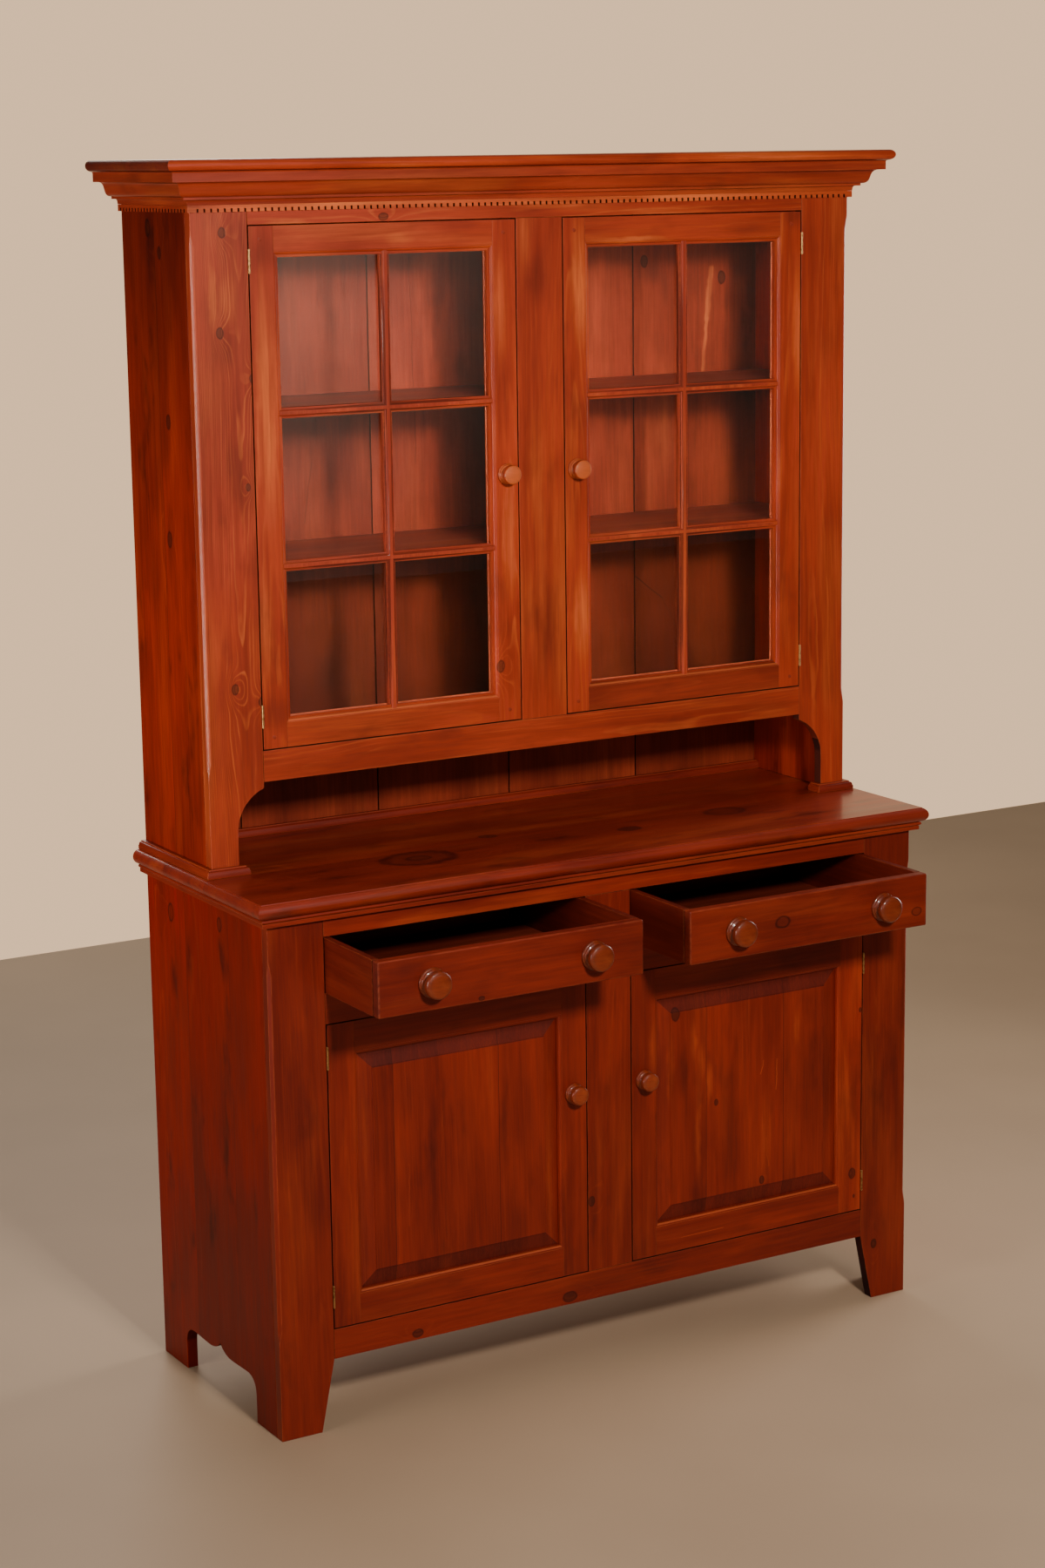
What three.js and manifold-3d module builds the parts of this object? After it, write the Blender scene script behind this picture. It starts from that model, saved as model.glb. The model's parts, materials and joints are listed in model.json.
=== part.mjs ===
// Step back cupboard of stained pine: a base with two drawers over two panelled doors, and a
// shallower glazed case standing on its counter. Millimetres, +Z up, the front facing -Y.
import * as THREE from 'three';
import { mergeVertices } from 'three/addons/utils/BufferGeometryUtils.js';
import Module from 'manifold-3d';

const wasm = await Module();
wasm.setup();

// Both cases
const caseWidth = 1295;
const baseDepth = 473;
const upperDepth = 270;
const sideThickness = 20;
const frameThickness = 20;
const backThickness = 12;
const shelfThickness = 18;
const dadoDepth = 6;
const chamferLeg = 5;
const chamferTongue = 28;
const seat = 0.3;
const overrun = 3;

// Base face frame, from the floor up
const footHeight = 125;
const baseBottomRail = 52;
const baseDoorOpening = 529.5;
const middleRail = 52;
const drawerOpening = 95.5;
const baseTopRail = 46;
const baseStile = 101;
const baseCentreStile = 89.5;
const footWidth = 75;
const baseChamferLow = 168;
const baseChamferDrop = 70;

// Opening sawn in the foot of each base side
const sideFootDepth = 96;
const archShoulder = 80;
const archCorner = 34;
const archDip = 2;
const archPeakRise = 15;
const archPeakHalf = 46;
const archPeakFoot = 14;

// Inside the base
const baseShelfHeight = 250;
const shelfSetBack = 60;
const deckThickness = 20;
const deckFrontLip = 10;
const guideHeight = 30;

// Counter and the moulding under it
const counterThickness = 26;
const counterOverhang = 25.4;
const counterMouldingHeight = 14.5;
const counterMouldingFillet = 13;
const counterMouldingBead = 16;
const counterBeadHeight = 6.5;
const counterQuirk = 1.5;

// Upper face frame, from the counter up
const recessHeight = 150.5;
const upperBottomRail = 52.5;
const upperDoorOpening = 861.5;
const friezeHeight = 86.5;
const upperStile = 100.5;
const upperCentreStile = 91;
const upperFootWidth = 50.5;
const bracketRadius = 75;
const bracketFillet = 10.5;
const upperChamferLow = 162;
const upperChamferDrop = 94;
const shelfTopDrop = 2;

// Boards of the upper back, with the dark gaps between them
const seamGap = 3;
const seamDepth = 4;
const seamShares = [-0.363, -0.152, 0.059, 0.273];

// Cornice
const topThickness = 17.5;
const topOverhang = 61.5;
const topCoveReach = 56;
const crownHeight = 54;
const crownFilletReach = 48.8;
const crownFilletHeight = 14;
const crownCoveHeight = 3;
const cymaOuter = 41;
const cymaInner = 17.5;
const cymaHeight = 24;
const crownNeckHeight = 4;
const crownNeckStep = 10.5;
const crownFoot = 6.3;
const crownStepHeight = 0.6;
const dentilReach = 6;
const dentilStripHeight = 11.6;
const dentilPitch = 12;
const dentilGap = 3.8;
const dentilHeight = 6;

// Moulding round each upper foot, and along the back of the counter
const footMouldingReach = 14.5;
const footMouldingHeight = 15;
const footMouldingFillet = 6.5;
const footMouldingStep = 1.2;
const footMouldingTopReach = 9;
const footMouldingTopFillet = 2.2;

// Glazed doors
const doorGap = 2;
const doorThickness = 20;
const glazedStile = 53;
const glazedRail = 51;
const glazedSticking = 9;
const glazedFillet = 5.4;
const glazedFilletDepth = 5.2;
const rebateDepth = 12;
const rebateWidth = 8;
const glassThickness = 3;
const muntinWidth = 17.5;
const muntinFace = 5;
const muntinFillet = 3.8;
const muntinSetBack = 0.8;
const upperKnobInset = 23;

// Panelled doors
const panelStile = 55.5;
const panelRail = 58.5;
const panelSticking = 6.5;
const panelStickingDepth = 5;
const grooveStart = 8.6;
const grooveWidth = 5.4;
const grooveDepth = 9;
const bevelWidth = 27;
const bevelRise = 4.6;
const fieldStep = 1.8;
const lowerKnobInset = 25.5;
const lowerKnobHeight = 329;

// Drawers, standing open as far as drawerPulled
const drawerPulled = 185;
const drawerGap = 1.8;
const drawerRunGap = 0.4;
const drawerTopGap = 1.8;
const drawerLength = 430;
const drawerFrontThickness = 20;
const drawerFrontEase = 1.5;
const drawerWall = 12;
const drawerFloor = 8;
const drawerKnobSpacing = 305;

// Turned knobs
const drawerKnobDiameter = 50;
const drawerKnobReach = 29;
const doorKnobDiameter = 36;
const doorKnobReach = 25;

// Brass butt hinges
const hingeHeight = 38;
const hingeLeaf = 18;
const hingeLeafThickness = 1.2;
const hingeBarrelRadius = 2.4;
const hingePinRadius = 1.3;
const hingeFromEnd = 56;

// Places worked out from the sizes above
const half = caseWidth / 2;
const inside = half - sideThickness;
const stepBack = baseDepth - upperDepth;
const baseDoorBottom = footHeight + baseBottomRail;
const baseDoorTop = baseDoorBottom + baseDoorOpening;
const drawerLevel = baseDoorTop + middleRail;
const baseTopRailBottom = drawerLevel + drawerOpening;
const baseHeight = baseTopRailBottom + baseTopRail;
const counterTop = baseHeight + counterThickness;
const upperDoorBottom = recessHeight + upperBottomRail;
const upperDoorTop = upperDoorBottom + upperDoorOpening;
const upperHeight = upperDoorTop + friezeHeight;
const frontReach = drawerPulled + drawerKnobReach + seat;

// Colours of the stained wood, the knobs, the glass and the brass
const frameColour = 0xa2421f;
const sideColour = 0x7c2a14;
const counterColour = 0x8c3219;
const insideColour = 0x6d2a16;
const panelColour = 0x8f3216;
const knobColour = 0xb0622f;
const glassColour = 0xb9c2c0;
const brassColour = 0xc9a45c;

function wood(colour, roughness = 0.35) {
  return new THREE.MeshStandardMaterial({ color: colour, roughness, metalness: 0 });
}

function brass() {
  return new THREE.MeshStandardMaterial({ color: brassColour, roughness: 0.3, metalness: 1 });
}

function clearGlass() {
  const look = { color: glassColour, roughness: 0.05, metalness: 0, transparent: true, opacity: 0.35 };
  return new THREE.MeshStandardMaterial(look);
}

function named(name, geometry, material) {
  const mesh = new THREE.Mesh(geometry, material);
  mesh.name = name;
  return mesh;
}

// A block between two corners, whichever way round each pair of numbers is given
function block(x0, x1, y0, y1, z0, z1) {
  const geometry = new THREE.BoxGeometry(Math.abs(x1 - x0), Math.abs(y1 - y0), Math.abs(z1 - z0));
  geometry.translate((x0 + x1) / 2, (y0 + y1) / 2, (z0 + z1) / 2);
  return geometry;
}

function welded(geometry) {
  const bare = geometry.clone();
  bare.deleteAttribute('normal');
  bare.deleteAttribute('uv');
  return mergeVertices(bare);
}

function solid(geometry) {
  const bare = welded(geometry);
  const mesh = new wasm.Mesh({
    numProp: 3,
    vertProperties: new Float32Array(bare.getAttribute('position').array),
    triVerts: new Uint32Array(bare.index.array),
  });
  return new wasm.Manifold(mesh);
}

function geometryOf(manifold) {
  const mesh = manifold.getMesh();
  const geometry = new THREE.BufferGeometry();
  geometry.setAttribute('position', new THREE.BufferAttribute(mesh.vertProperties, mesh.numProp));
  geometry.setIndex(new THREE.BufferAttribute(mesh.triVerts, 1));
  return geometry;
}

function cut(geometry, cutters) {
  const whole = cutters.reduce((rest, cutter) => rest.subtract(solid(cutter)), solid(geometry));
  return geometryOf(whole);
}

function join(geometries) {
  const [first, ...others] = geometries.map(solid);
  return geometryOf(others.reduce((whole, other) => whole.add(other), first));
}

// Turns every face round if the closed surface faces inwards
function facingOut(geometry) {
  const place = geometry.getAttribute('position');
  const index = geometry.index.array;
  const corner = [new THREE.Vector3(), new THREE.Vector3(), new THREE.Vector3()];
  let volume = 0;
  for (let i = 0; i < index.length; i += 3) {
    corner.forEach((point, k) => point.fromBufferAttribute(place, index[i + k]));
    volume += corner[0].dot(corner[1].cross(corner[2]));
  }
  if (volume < 0) {
    for (let i = 0; i < index.length; i += 3) {
      [index[i + 1], index[i + 2]] = [index[i + 2], index[i + 1]];
    }
  }
  return geometry;
}

// A closed surface over rows of points. The points of a row always join into a loop; the rows
// join into a loop too when closed, and otherwise the first and last row are filled in.
function skin(rows, closed) {
  const across = rows[0].length;
  const index = [];
  const steps = closed ? rows.length : rows.length - 1;
  for (let i = 0; i < steps; i += 1) {
    const next = (i + 1) % rows.length;
    for (let j = 0; j < across; j += 1) {
      const k = (j + 1) % across;
      index.push(i * across + j, i * across + k, next * across + k);
      index.push(i * across + j, next * across + k, next * across + j);
    }
  }
  if (!closed) {
    const last = (rows.length - 1) * across;
    fill(rows[0]).forEach(([a, b, c]) => index.push(a, c, b));
    fill(rows[rows.length - 1]).forEach(([a, b, c]) => index.push(last + a, last + b, last + c));
  }
  const geometry = new THREE.BufferGeometry().setFromPoints(rows.flat());
  geometry.setIndex(index);
  return facingOut(geometry);
}

// Triangles that fill one flat row of points, wound the same way as the row
function fill(row) {
  const normal = new THREE.Vector3();
  row.forEach((point, i) => normal.add(point.clone().cross(row[(i + 1) % row.length])));
  const drop = ['x', 'y', 'z'].reduce((a, b) => (Math.abs(normal[a]) > Math.abs(normal[b]) ? a : b));
  const [u, v] = { x: ['y', 'z'], y: ['x', 'z'], z: ['x', 'y'] }[drop];
  const flat = row.map((point) => new THREE.Vector2(point[u], point[v]));
  const turn = Math.sign(THREE.ShapeUtils.area(flat));
  return THREE.ShapeUtils.triangulateShape(flat, []).map(([a, b, c]) => {
    const same = Math.sign(THREE.ShapeUtils.area([flat[a], flat[b], flat[c]])) === turn;
    return same ? [a, b, c] : [a, c, b];
  });
}

function rectangleXZ(x0, x1, z0, z1, y) {
  return [[x0, z0], [x1, z0], [x1, z1], [x0, z1]].map(([x, z]) => new THREE.Vector3(x, y, z));
}

function rectangleXY(x0, x1, y0, y1, z) {
  return [[x0, y0], [x1, y0], [x1, y1], [x0, y1]].map(([x, y]) => new THREE.Vector3(x, y, z));
}

// Moulding swept round the two sides and the front of a case, mitred at the front corners.
// The profile gives how far each point stands out from the case, and its height.
function caseMoulding(profile, front, back, level) {
  const stations = [
    (out, up) => new THREE.Vector3(-half - out, back, level + up),
    (out, up) => new THREE.Vector3(-half - out, front - out, level + up),
    (out, up) => new THREE.Vector3(half + out, front - out, level + up),
    (out, up) => new THREE.Vector3(half + out, back, level + up),
  ];
  return skin(stations.map((station) => profile.map((point) => station(point.x, point.y))), false);
}

// Board whose front and side edges are rounded to half a circle
function nosedBoard(front, back, overhang, thickness, level) {
  const radius = thickness / 2;
  const steps = 8;
  const rows = [];
  for (let i = 0; i <= steps; i += 1) {
    const turn = Math.PI * (i / steps - 1 / 2);
    const out = overhang - radius + radius * Math.cos(turn);
    rows.push(rectangleXY(-half - out, half + out, front - out, back, level + radius + radius * Math.sin(turn)));
  }
  return skin(rows, false);
}

// Flat piece cut to an outline seen from the front, from y0 back to y1
function frontPlate(outline, y0, y1) {
  const geometry = new THREE.ExtrudeGeometry(outline, { depth: y1 - y0, bevelEnabled: false, curveSegments: 10 });
  geometry.rotateX(Math.PI / 2);
  geometry.translate(0, y1, 0);
  return geometry;
}

// Flat piece cut to an outline seen from the right, from x0 to x1
function sidePlate(outline, x0, x1) {
  const geometry = new THREE.ExtrudeGeometry(outline, { depth: x1 - x0, bevelEnabled: false, curveSegments: 10 });
  const across = new THREE.Vector3(1, 0, 0);
  const along = new THREE.Vector3(0, 1, 0);
  const up = new THREE.Vector3(0, 0, 1);
  geometry.applyMatrix4(new THREE.Matrix4().makeBasis(along, up, across));
  geometry.translate(x0, 0, 0);
  return geometry;
}

// Cutter for a chamfer along an outer front corner, running out to nothing at both ends
function chamferCutter(side, low, high) {
  const section = (leg, z) => [
    new THREE.Vector3(side * (half - leg - overrun), -overrun, z),
    new THREE.Vector3(side * (half + leg + overrun), -overrun, z),
    new THREE.Vector3(side * (half + overrun), leg + overrun, z),
  ];
  const rows = [
    section(-seat, low),
    section(chamferLeg, low + chamferTongue),
    section(chamferLeg, high - chamferTongue),
    section(-seat, high),
  ];
  return skin(rows, false);
}

// Grooves across the inner face of a side board, one for each shelf or floor that it carries
function dadoCutters(side, shelves, depth) {
  return shelves.map(([bottom, thickness]) => block(
    side * (inside - overrun),
    side * (inside + dadoDepth),
    -overrun,
    depth + overrun,
    bottom - seat,
    bottom + thickness + seat,
  ));
}

function shelf(front, back, bottom, thickness) {
  const reach = inside + dadoDepth - seat;
  return block(-reach, reach, front, back, bottom, bottom + thickness);
}

// Sides, floor, shelf and back of the base
const baseFloorBottom = baseDoorBottom - shelfThickness;
const baseShelfBottom = baseDoorBottom + baseShelfHeight;
const deckBottom = drawerLevel - deckThickness;

function baseSideOutline() {
  const middle = baseDepth / 2;
  const shoulder = archShoulder - archDip;
  const outline = new THREE.Shape();
  outline.moveTo(frameThickness + seat, 0);
  outline.lineTo(sideFootDepth, 0);
  outline.lineTo(sideFootDepth, archShoulder - archCorner);
  outline.quadraticCurveTo(sideFootDepth, archShoulder, sideFootDepth + archCorner, archShoulder);
  outline.lineTo(middle - archPeakHalf, shoulder);
  outline.quadraticCurveTo(middle - archPeakFoot, shoulder, middle, archShoulder + archPeakRise);
  outline.quadraticCurveTo(middle + archPeakFoot, shoulder, middle + archPeakHalf, shoulder);
  outline.lineTo(baseDepth - sideFootDepth - archCorner, archShoulder);
  outline.quadraticCurveTo(
    baseDepth - sideFootDepth,
    archShoulder,
    baseDepth - sideFootDepth,
    archShoulder - archCorner,
  );
  outline.lineTo(baseDepth - sideFootDepth, 0);
  outline.lineTo(baseDepth, 0);
  outline.lineTo(baseDepth, baseHeight - seat);
  outline.lineTo(frameThickness + seat, baseHeight - seat);
  return outline;
}

function baseSide(side) {
  const board = sidePlate(baseSideOutline(), side > 0 ? inside : -half, side > 0 ? half : -inside);
  const shelves = [
    [baseFloorBottom, shelfThickness],
    [baseShelfBottom, shelfThickness],
    [deckBottom, deckThickness],
  ];
  return cut(board, dadoCutters(side, shelves, baseDepth));
}

function baseStileBoard(side) {
  const outline = new THREE.Shape([
    new THREE.Vector2(side * half, 0),
    new THREE.Vector2(side * half, baseHeight - seat),
    new THREE.Vector2(side * (half - baseStile), baseHeight - seat),
    new THREE.Vector2(side * (half - baseStile), footHeight),
    new THREE.Vector2(side * (half - footWidth), 0),
  ]);
  const chamfer = chamferCutter(side, baseChamferLow, baseHeight - baseChamferDrop);
  return cut(frontPlate(outline, 0, frameThickness), [chamfer]);
}

// Board under the drawers: its two front rails show between the stiles, and its guides keep
// the drawers square
function drawerDeck() {
  const backFace = baseDepth - backThickness - seat;
  const behind = frameThickness + seat;
  const openingEdge = half - baseStile;
  const centreEdge = baseCentreStile / 2;
  const board = shelf(behind, backFace, deckBottom, deckThickness);
  const rails = [-1, 1].map((side) => block(
    side * (centreEdge + seat),
    side * (openingEdge - seat),
    0,
    frameThickness + deckFrontLip,
    baseDoorTop,
    drawerLevel,
  ));
  const sunk = drawerLevel - deckThickness / 2;
  const guideTop = drawerLevel + guideHeight;
  const guides = [
    block(-centreEdge, centreEdge, behind, backFace, sunk, guideTop),
    block(openingEdge, inside - seat, behind, backFace, sunk, guideTop),
    block(-openingEdge, -inside + seat, behind, backFace, sunk, guideTop),
  ];
  return join([board, ...rails, ...guides]);
}

function baseCase() {
  const behind = frameThickness + seat;
  const backFace = baseDepth - backThickness;
  const railEdge = half - baseStile - seat;
  const centreEdge = baseCentreStile / 2;
  const floor = shelf(behind, backFace - seat, baseFloorBottom, shelfThickness);
  const halfShelf = shelf(behind + shelfSetBack, backFace - seat, baseShelfBottom, shelfThickness);
  const back = block(-inside + seat, inside - seat, backFace, baseDepth, baseFloorBottom, baseHeight - seat);
  const bottomRail = block(-railEdge, railEdge, 0, frameThickness, footHeight, baseDoorBottom);
  const topRail = block(-railEdge, railEdge, 0, frameThickness, baseTopRailBottom, baseHeight - seat);
  const centre = block(
    -centreEdge,
    centreEdge,
    0,
    frameThickness,
    baseDoorBottom + seat,
    baseTopRailBottom - seat,
  );
  const group = new THREE.Group();
  group.add(
    named('base_side_left', baseSide(-1), wood(sideColour)),
    named('base_side_right', baseSide(1), wood(sideColour)),
    named('base_stile_left', baseStileBoard(-1), wood(frameColour)),
    named('base_stile_right', baseStileBoard(1), wood(frameColour)),
    named('base_stile_centre', centre, wood(frameColour)),
    named('base_top_rail', topRail, wood(frameColour)),
    named('base_bottom_rail', bottomRail, wood(frameColour)),
    named('drawer_deck', drawerDeck(), wood(frameColour)),
    named('base_floor', floor, wood(insideColour)),
    named('base_shelf', halfShelf, wood(insideColour)),
    named('base_back', seamed(back, baseFloorBottom, baseHeight, baseDepth), wood(insideColour)),
  );
  return group;
}

// Narrow gaps between the boards of a back, sunk from both faces so that a tongue is left
function seamed(back, bottom, top, depth) {
  const cutters = seamShares.flatMap((share) => {
    const left = share * caseWidth - seamGap / 2;
    const frontFace = depth - backThickness;
    return [
      block(left, left + seamGap, frontFace - overrun, frontFace + seamDepth, bottom - overrun, top + overrun),
      block(left, left + seamGap, depth - seamDepth, depth + overrun, bottom - overrun, top + overrun),
    ];
  });
  return cut(back, cutters);
}

// Counter
function counterMouldingProfile() {
  const beadRadius = counterBeadHeight / 2;
  const beadCentre = counterMouldingHeight - seat - beadRadius;
  const bead = new THREE.EllipseCurve(
    counterMouldingBead - beadRadius,
    beadCentre,
    beadRadius,
    beadRadius,
    -Math.PI / 2,
    Math.PI / 2,
  );
  const filletTop = beadCentre - beadRadius - counterQuirk / 2;
  return [
    new THREE.Vector2(seat, 0),
    new THREE.Vector2(counterMouldingFillet, 0),
    new THREE.Vector2(counterMouldingFillet, filletTop),
    new THREE.Vector2(counterMouldingFillet - counterQuirk, filletTop),
    new THREE.Vector2(counterMouldingFillet - counterQuirk, beadCentre - beadRadius),
    ...bead.getPoints(6),
    new THREE.Vector2(seat, counterMouldingHeight - seat),
  ];
}

function counter() {
  const board = nosedBoard(0, baseDepth, counterOverhang, counterThickness, baseHeight);
  const under = caseMoulding(counterMouldingProfile(), 0, baseDepth, baseHeight - counterMouldingHeight);
  const group = new THREE.Group();
  group.add(
    named('countertop', board, wood(counterColour, 0.2)),
    named('counter_moulding', under, wood(counterColour)),
  );
  return group;
}

// Profile shared by the foot mouldings and the strip along the back of the counter
function footMouldingProfile() {
  const top = footMouldingHeight - footMouldingTopFillet;
  const springing = footMouldingFillet + footMouldingStep;
  const outer = footMouldingReach - footMouldingStep;
  const round = new THREE.QuadraticBezierCurve(
    new THREE.Vector2(outer, springing),
    new THREE.Vector2(outer, top),
    new THREE.Vector2(footMouldingTopReach, top),
  );
  return [
    new THREE.Vector2(seat, seat),
    new THREE.Vector2(footMouldingReach, seat),
    new THREE.Vector2(footMouldingReach, footMouldingFillet),
    ...round.getPoints(5),
    new THREE.Vector2(footMouldingTopReach, footMouldingHeight),
    new THREE.Vector2(seat, footMouldingHeight),
  ];
}

// Runs along a side of the upper case, across its stile and back round the stile's inner edge
function footMoulding(side) {
  const inner = half - upperFootWidth;
  const stations = [
    (out, up) => new THREE.Vector3(side * (half + out), upperDepth, up),
    (out, up) => new THREE.Vector3(side * (half + out), -out, up),
    (out, up) => new THREE.Vector3(side * (inner - out), -out, up),
    (out, up) => new THREE.Vector3(side * (inner - out), frameThickness, up),
  ];
  const profile = footMouldingProfile();
  return skin(stations.map((station) => profile.map((point) => station(point.x, point.y))), false);
}

function counterBackStrip() {
  const face = upperDepth - backThickness;
  const rows = [-inside + seat, inside - seat].map((x) => (
    footMouldingProfile().map((point) => new THREE.Vector3(x, face - point.x, point.y))
  ));
  return skin(rows, false);
}

// Upper case, drawn with its own floor at zero and its own front at zero
function upperStileOutline(side) {
  const inner = half - upperStile;
  const narrow = half - upperFootWidth;
  const centreX = narrow - bracketRadius;
  const rise = Math.sqrt(Math.max(0, bracketRadius ** 2 - (inner - centreX) ** 2));
  const centreZ = recessHeight - bracketFillet - rise;
  const arc = new THREE.EllipseCurve(
    centreX,
    centreZ,
    bracketRadius,
    bracketRadius,
    0,
    Math.atan2(rise, inner - centreX),
  );
  const points = [
    new THREE.Vector2(half, seat),
    new THREE.Vector2(narrow, seat),
    ...arc.getPoints(12),
    new THREE.Vector2(inner, recessHeight),
    new THREE.Vector2(inner, upperHeight - seat),
    new THREE.Vector2(half, upperHeight - seat),
  ];
  return new THREE.Shape(points.map((point) => new THREE.Vector2(side * point.x, point.y)));
}

function upperStileBoard(side) {
  const chamfer = chamferCutter(side, upperChamferLow, upperHeight - upperChamferDrop);
  return cut(frontPlate(upperStileOutline(side), 0, frameThickness), [chamfer]);
}

// Two shelves stand level with the glazing bars
const sightBottom = upperDoorBottom + doorGap + glazedRail;
const sightTop = upperDoorTop - doorGap - glazedRail;
const lowerBarLevel = sightBottom + (sightTop - sightBottom) / 3;
const upperBarLevel = sightTop - (sightTop - sightBottom) / 3;
const upperShelfBottoms = [lowerBarLevel, upperBarLevel].map((bar) => (
  bar + muntinWidth / 2 - shelfTopDrop - shelfThickness
));
const upperFloorBottom = upperDoorBottom - shelfThickness;

function upperSide(side) {
  const board = block(
    side * inside,
    side * half,
    frameThickness + seat,
    upperDepth,
    seat,
    upperHeight - seat,
  );
  const shelves = [upperFloorBottom, ...upperShelfBottoms].map((bottom) => [bottom, shelfThickness]);
  return cut(board, dadoCutters(side, shelves, upperDepth));
}

function upperCase() {
  const behind = frameThickness + seat;
  const backFace = upperDepth - backThickness;
  const railEdge = half - upperStile - seat;
  const centreEdge = upperCentreStile / 2;
  const back = block(-inside + seat, inside - seat, backFace, upperDepth, seat, upperHeight - seat);
  const bottomRail = block(-railEdge, railEdge, 0, frameThickness, recessHeight, upperDoorBottom);
  const topRail = block(-railEdge, railEdge, 0, frameThickness, upperDoorTop, upperHeight - seat);
  const centre = block(
    -centreEdge,
    centreEdge,
    0,
    frameThickness,
    upperDoorBottom + seat,
    upperDoorTop - seat,
  );
  const [lowerShelf, upperShelf, floor] = [...upperShelfBottoms, upperFloorBottom].map((bottom) => (
    shelf(behind, backFace - seat, bottom, shelfThickness)
  ));
  const group = new THREE.Group();
  group.add(
    named('upper_side_left', upperSide(-1), wood(sideColour)),
    named('upper_side_right', upperSide(1), wood(sideColour)),
    named('upper_stile_left', upperStileBoard(-1), wood(frameColour)),
    named('upper_stile_right', upperStileBoard(1), wood(frameColour)),
    named('upper_stile_centre', centre, wood(frameColour)),
    named('upper_top_rail', topRail, wood(frameColour)),
    named('upper_bottom_rail', bottomRail, wood(frameColour)),
    named('upper_floor', floor, wood(insideColour)),
    named('upper_shelf_lower', lowerShelf, wood(insideColour)),
    named('upper_shelf_upper', upperShelf, wood(insideColour)),
    named('upper_back', seamed(back, 0, upperHeight, upperDepth), wood(insideColour)),
    named('foot_moulding_left', footMoulding(-1), wood(counterColour)),
    named('foot_moulding_right', footMoulding(1), wood(counterColour)),
    named('counter_back_strip', counterBackStrip(), wood(counterColour)),
  );
  return group;
}

// Cornice, its heights counted from the bottom of the crown moulding
function crownProfile() {
  const top = crownHeight - seat;
  const filletTop = top - crownCoveHeight;
  const cymaTop = filletTop - crownFilletHeight;
  const cymaBottom = cymaTop - cymaHeight;
  const neckBottom = cymaBottom - crownNeckHeight;
  const swing = (cymaOuter - cymaInner) * 3 / 4;
  const cyma = new THREE.CubicBezierCurve(
    new THREE.Vector2(cymaInner, cymaBottom),
    new THREE.Vector2(cymaInner + swing, cymaBottom),
    new THREE.Vector2(cymaOuter - swing, cymaTop),
    new THREE.Vector2(cymaOuter, cymaTop),
  );
  const footCove = new THREE.QuadraticBezierCurve(
    new THREE.Vector2(crownFoot, 0),
    new THREE.Vector2(crownFoot, neckBottom),
    new THREE.Vector2(crownNeckStep, neckBottom),
  );
  const topCove = new THREE.QuadraticBezierCurve(
    new THREE.Vector2(crownFilletReach, filletTop),
    new THREE.Vector2(crownFilletReach, top),
    new THREE.Vector2(topCoveReach, top),
  );
  return [
    new THREE.Vector2(seat, 0),
    ...footCove.getPoints(4),
    new THREE.Vector2(cymaInner - crownStepHeight, neckBottom),
    new THREE.Vector2(cymaInner - crownStepHeight, cymaBottom),
    ...cyma.getPoints(12),
    new THREE.Vector2(crownFilletReach, cymaTop),
    ...topCove.getPoints(3),
    new THREE.Vector2(seat, top),
  ];
}

// Strip under the crown with a row of small notches in its lower half
function dentilStrip(level) {
  const profile = [
    new THREE.Vector2(seat, seat),
    new THREE.Vector2(dentilReach, seat),
    new THREE.Vector2(dentilReach, dentilStripHeight - seat),
    new THREE.Vector2(seat, dentilStripHeight - seat),
  ];
  const strip = caseMoulding(profile, 0, upperDepth, level);
  const cutters = [];
  const low = level - overrun;
  const high = level + dentilHeight;
  const frontCount = Math.floor((half - dentilGap) / dentilPitch);
  for (let i = -frontCount; i <= frontCount; i += 1) {
    const x = i * dentilPitch;
    cutters.push(block(x - dentilGap / 2, x + dentilGap / 2, -dentilReach - overrun, overrun, low, high));
  }
  const sideCount = Math.floor((upperDepth - dentilGap) / dentilPitch);
  for (let i = 0; i < sideCount; i += 1) {
    const y = (i + 1 / 2) * dentilPitch;
    const outer = half + dentilReach + overrun;
    cutters.push(block(-outer, -half + overrun, y - dentilGap / 2, y + dentilGap / 2, low, high));
    cutters.push(block(half - overrun, outer, y - dentilGap / 2, y + dentilGap / 2, low, high));
  }
  return geometryOf(solid(strip).subtract(wasm.Manifold.union(cutters.map(solid))));
}

function cornice() {
  const crownLevel = upperHeight - crownHeight;
  const crown = caseMoulding(crownProfile(), 0, upperDepth, crownLevel);
  const top = nosedBoard(0, upperDepth, topOverhang, topThickness, upperHeight);
  const group = new THREE.Group();
  group.add(
    named('crown_moulding', crown, wood(frameColour)),
    named('dentil_strip', dentilStrip(crownLevel - dentilStripHeight), wood(frameColour)),
    named('upper_top', top, wood(frameColour)),
  );
  return group;
}

// Knobs, turned about an axis that points out of the face they stand on
const knobShares = [
  [0, 0],
  [0.94, 0],
  [1, 0.05],
  [1, 0.12],
  [0.9, 0.19],
  [0.86, 0.27],
  [0.72, 0.36],
  [0.74, 0.46],
  [0.9, 0.55],
  [0.93, 0.64],
  [0.93, 0.84],
  [0.84, 0.95],
  [0.5, 1],
  [0, 1],
];

function knob(name, diameter, reach, x, z) {
  const profile = knobShares.map(([out, along]) => new THREE.Vector2(out * diameter / 2, along * reach));
  const mesh = named(name, welded(new THREE.LatheGeometry(profile, 24)), wood(knobColour, 0.25));
  mesh.rotation.z = Math.PI;
  mesh.position.set(x, -seat, z);
  return mesh;
}

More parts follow.
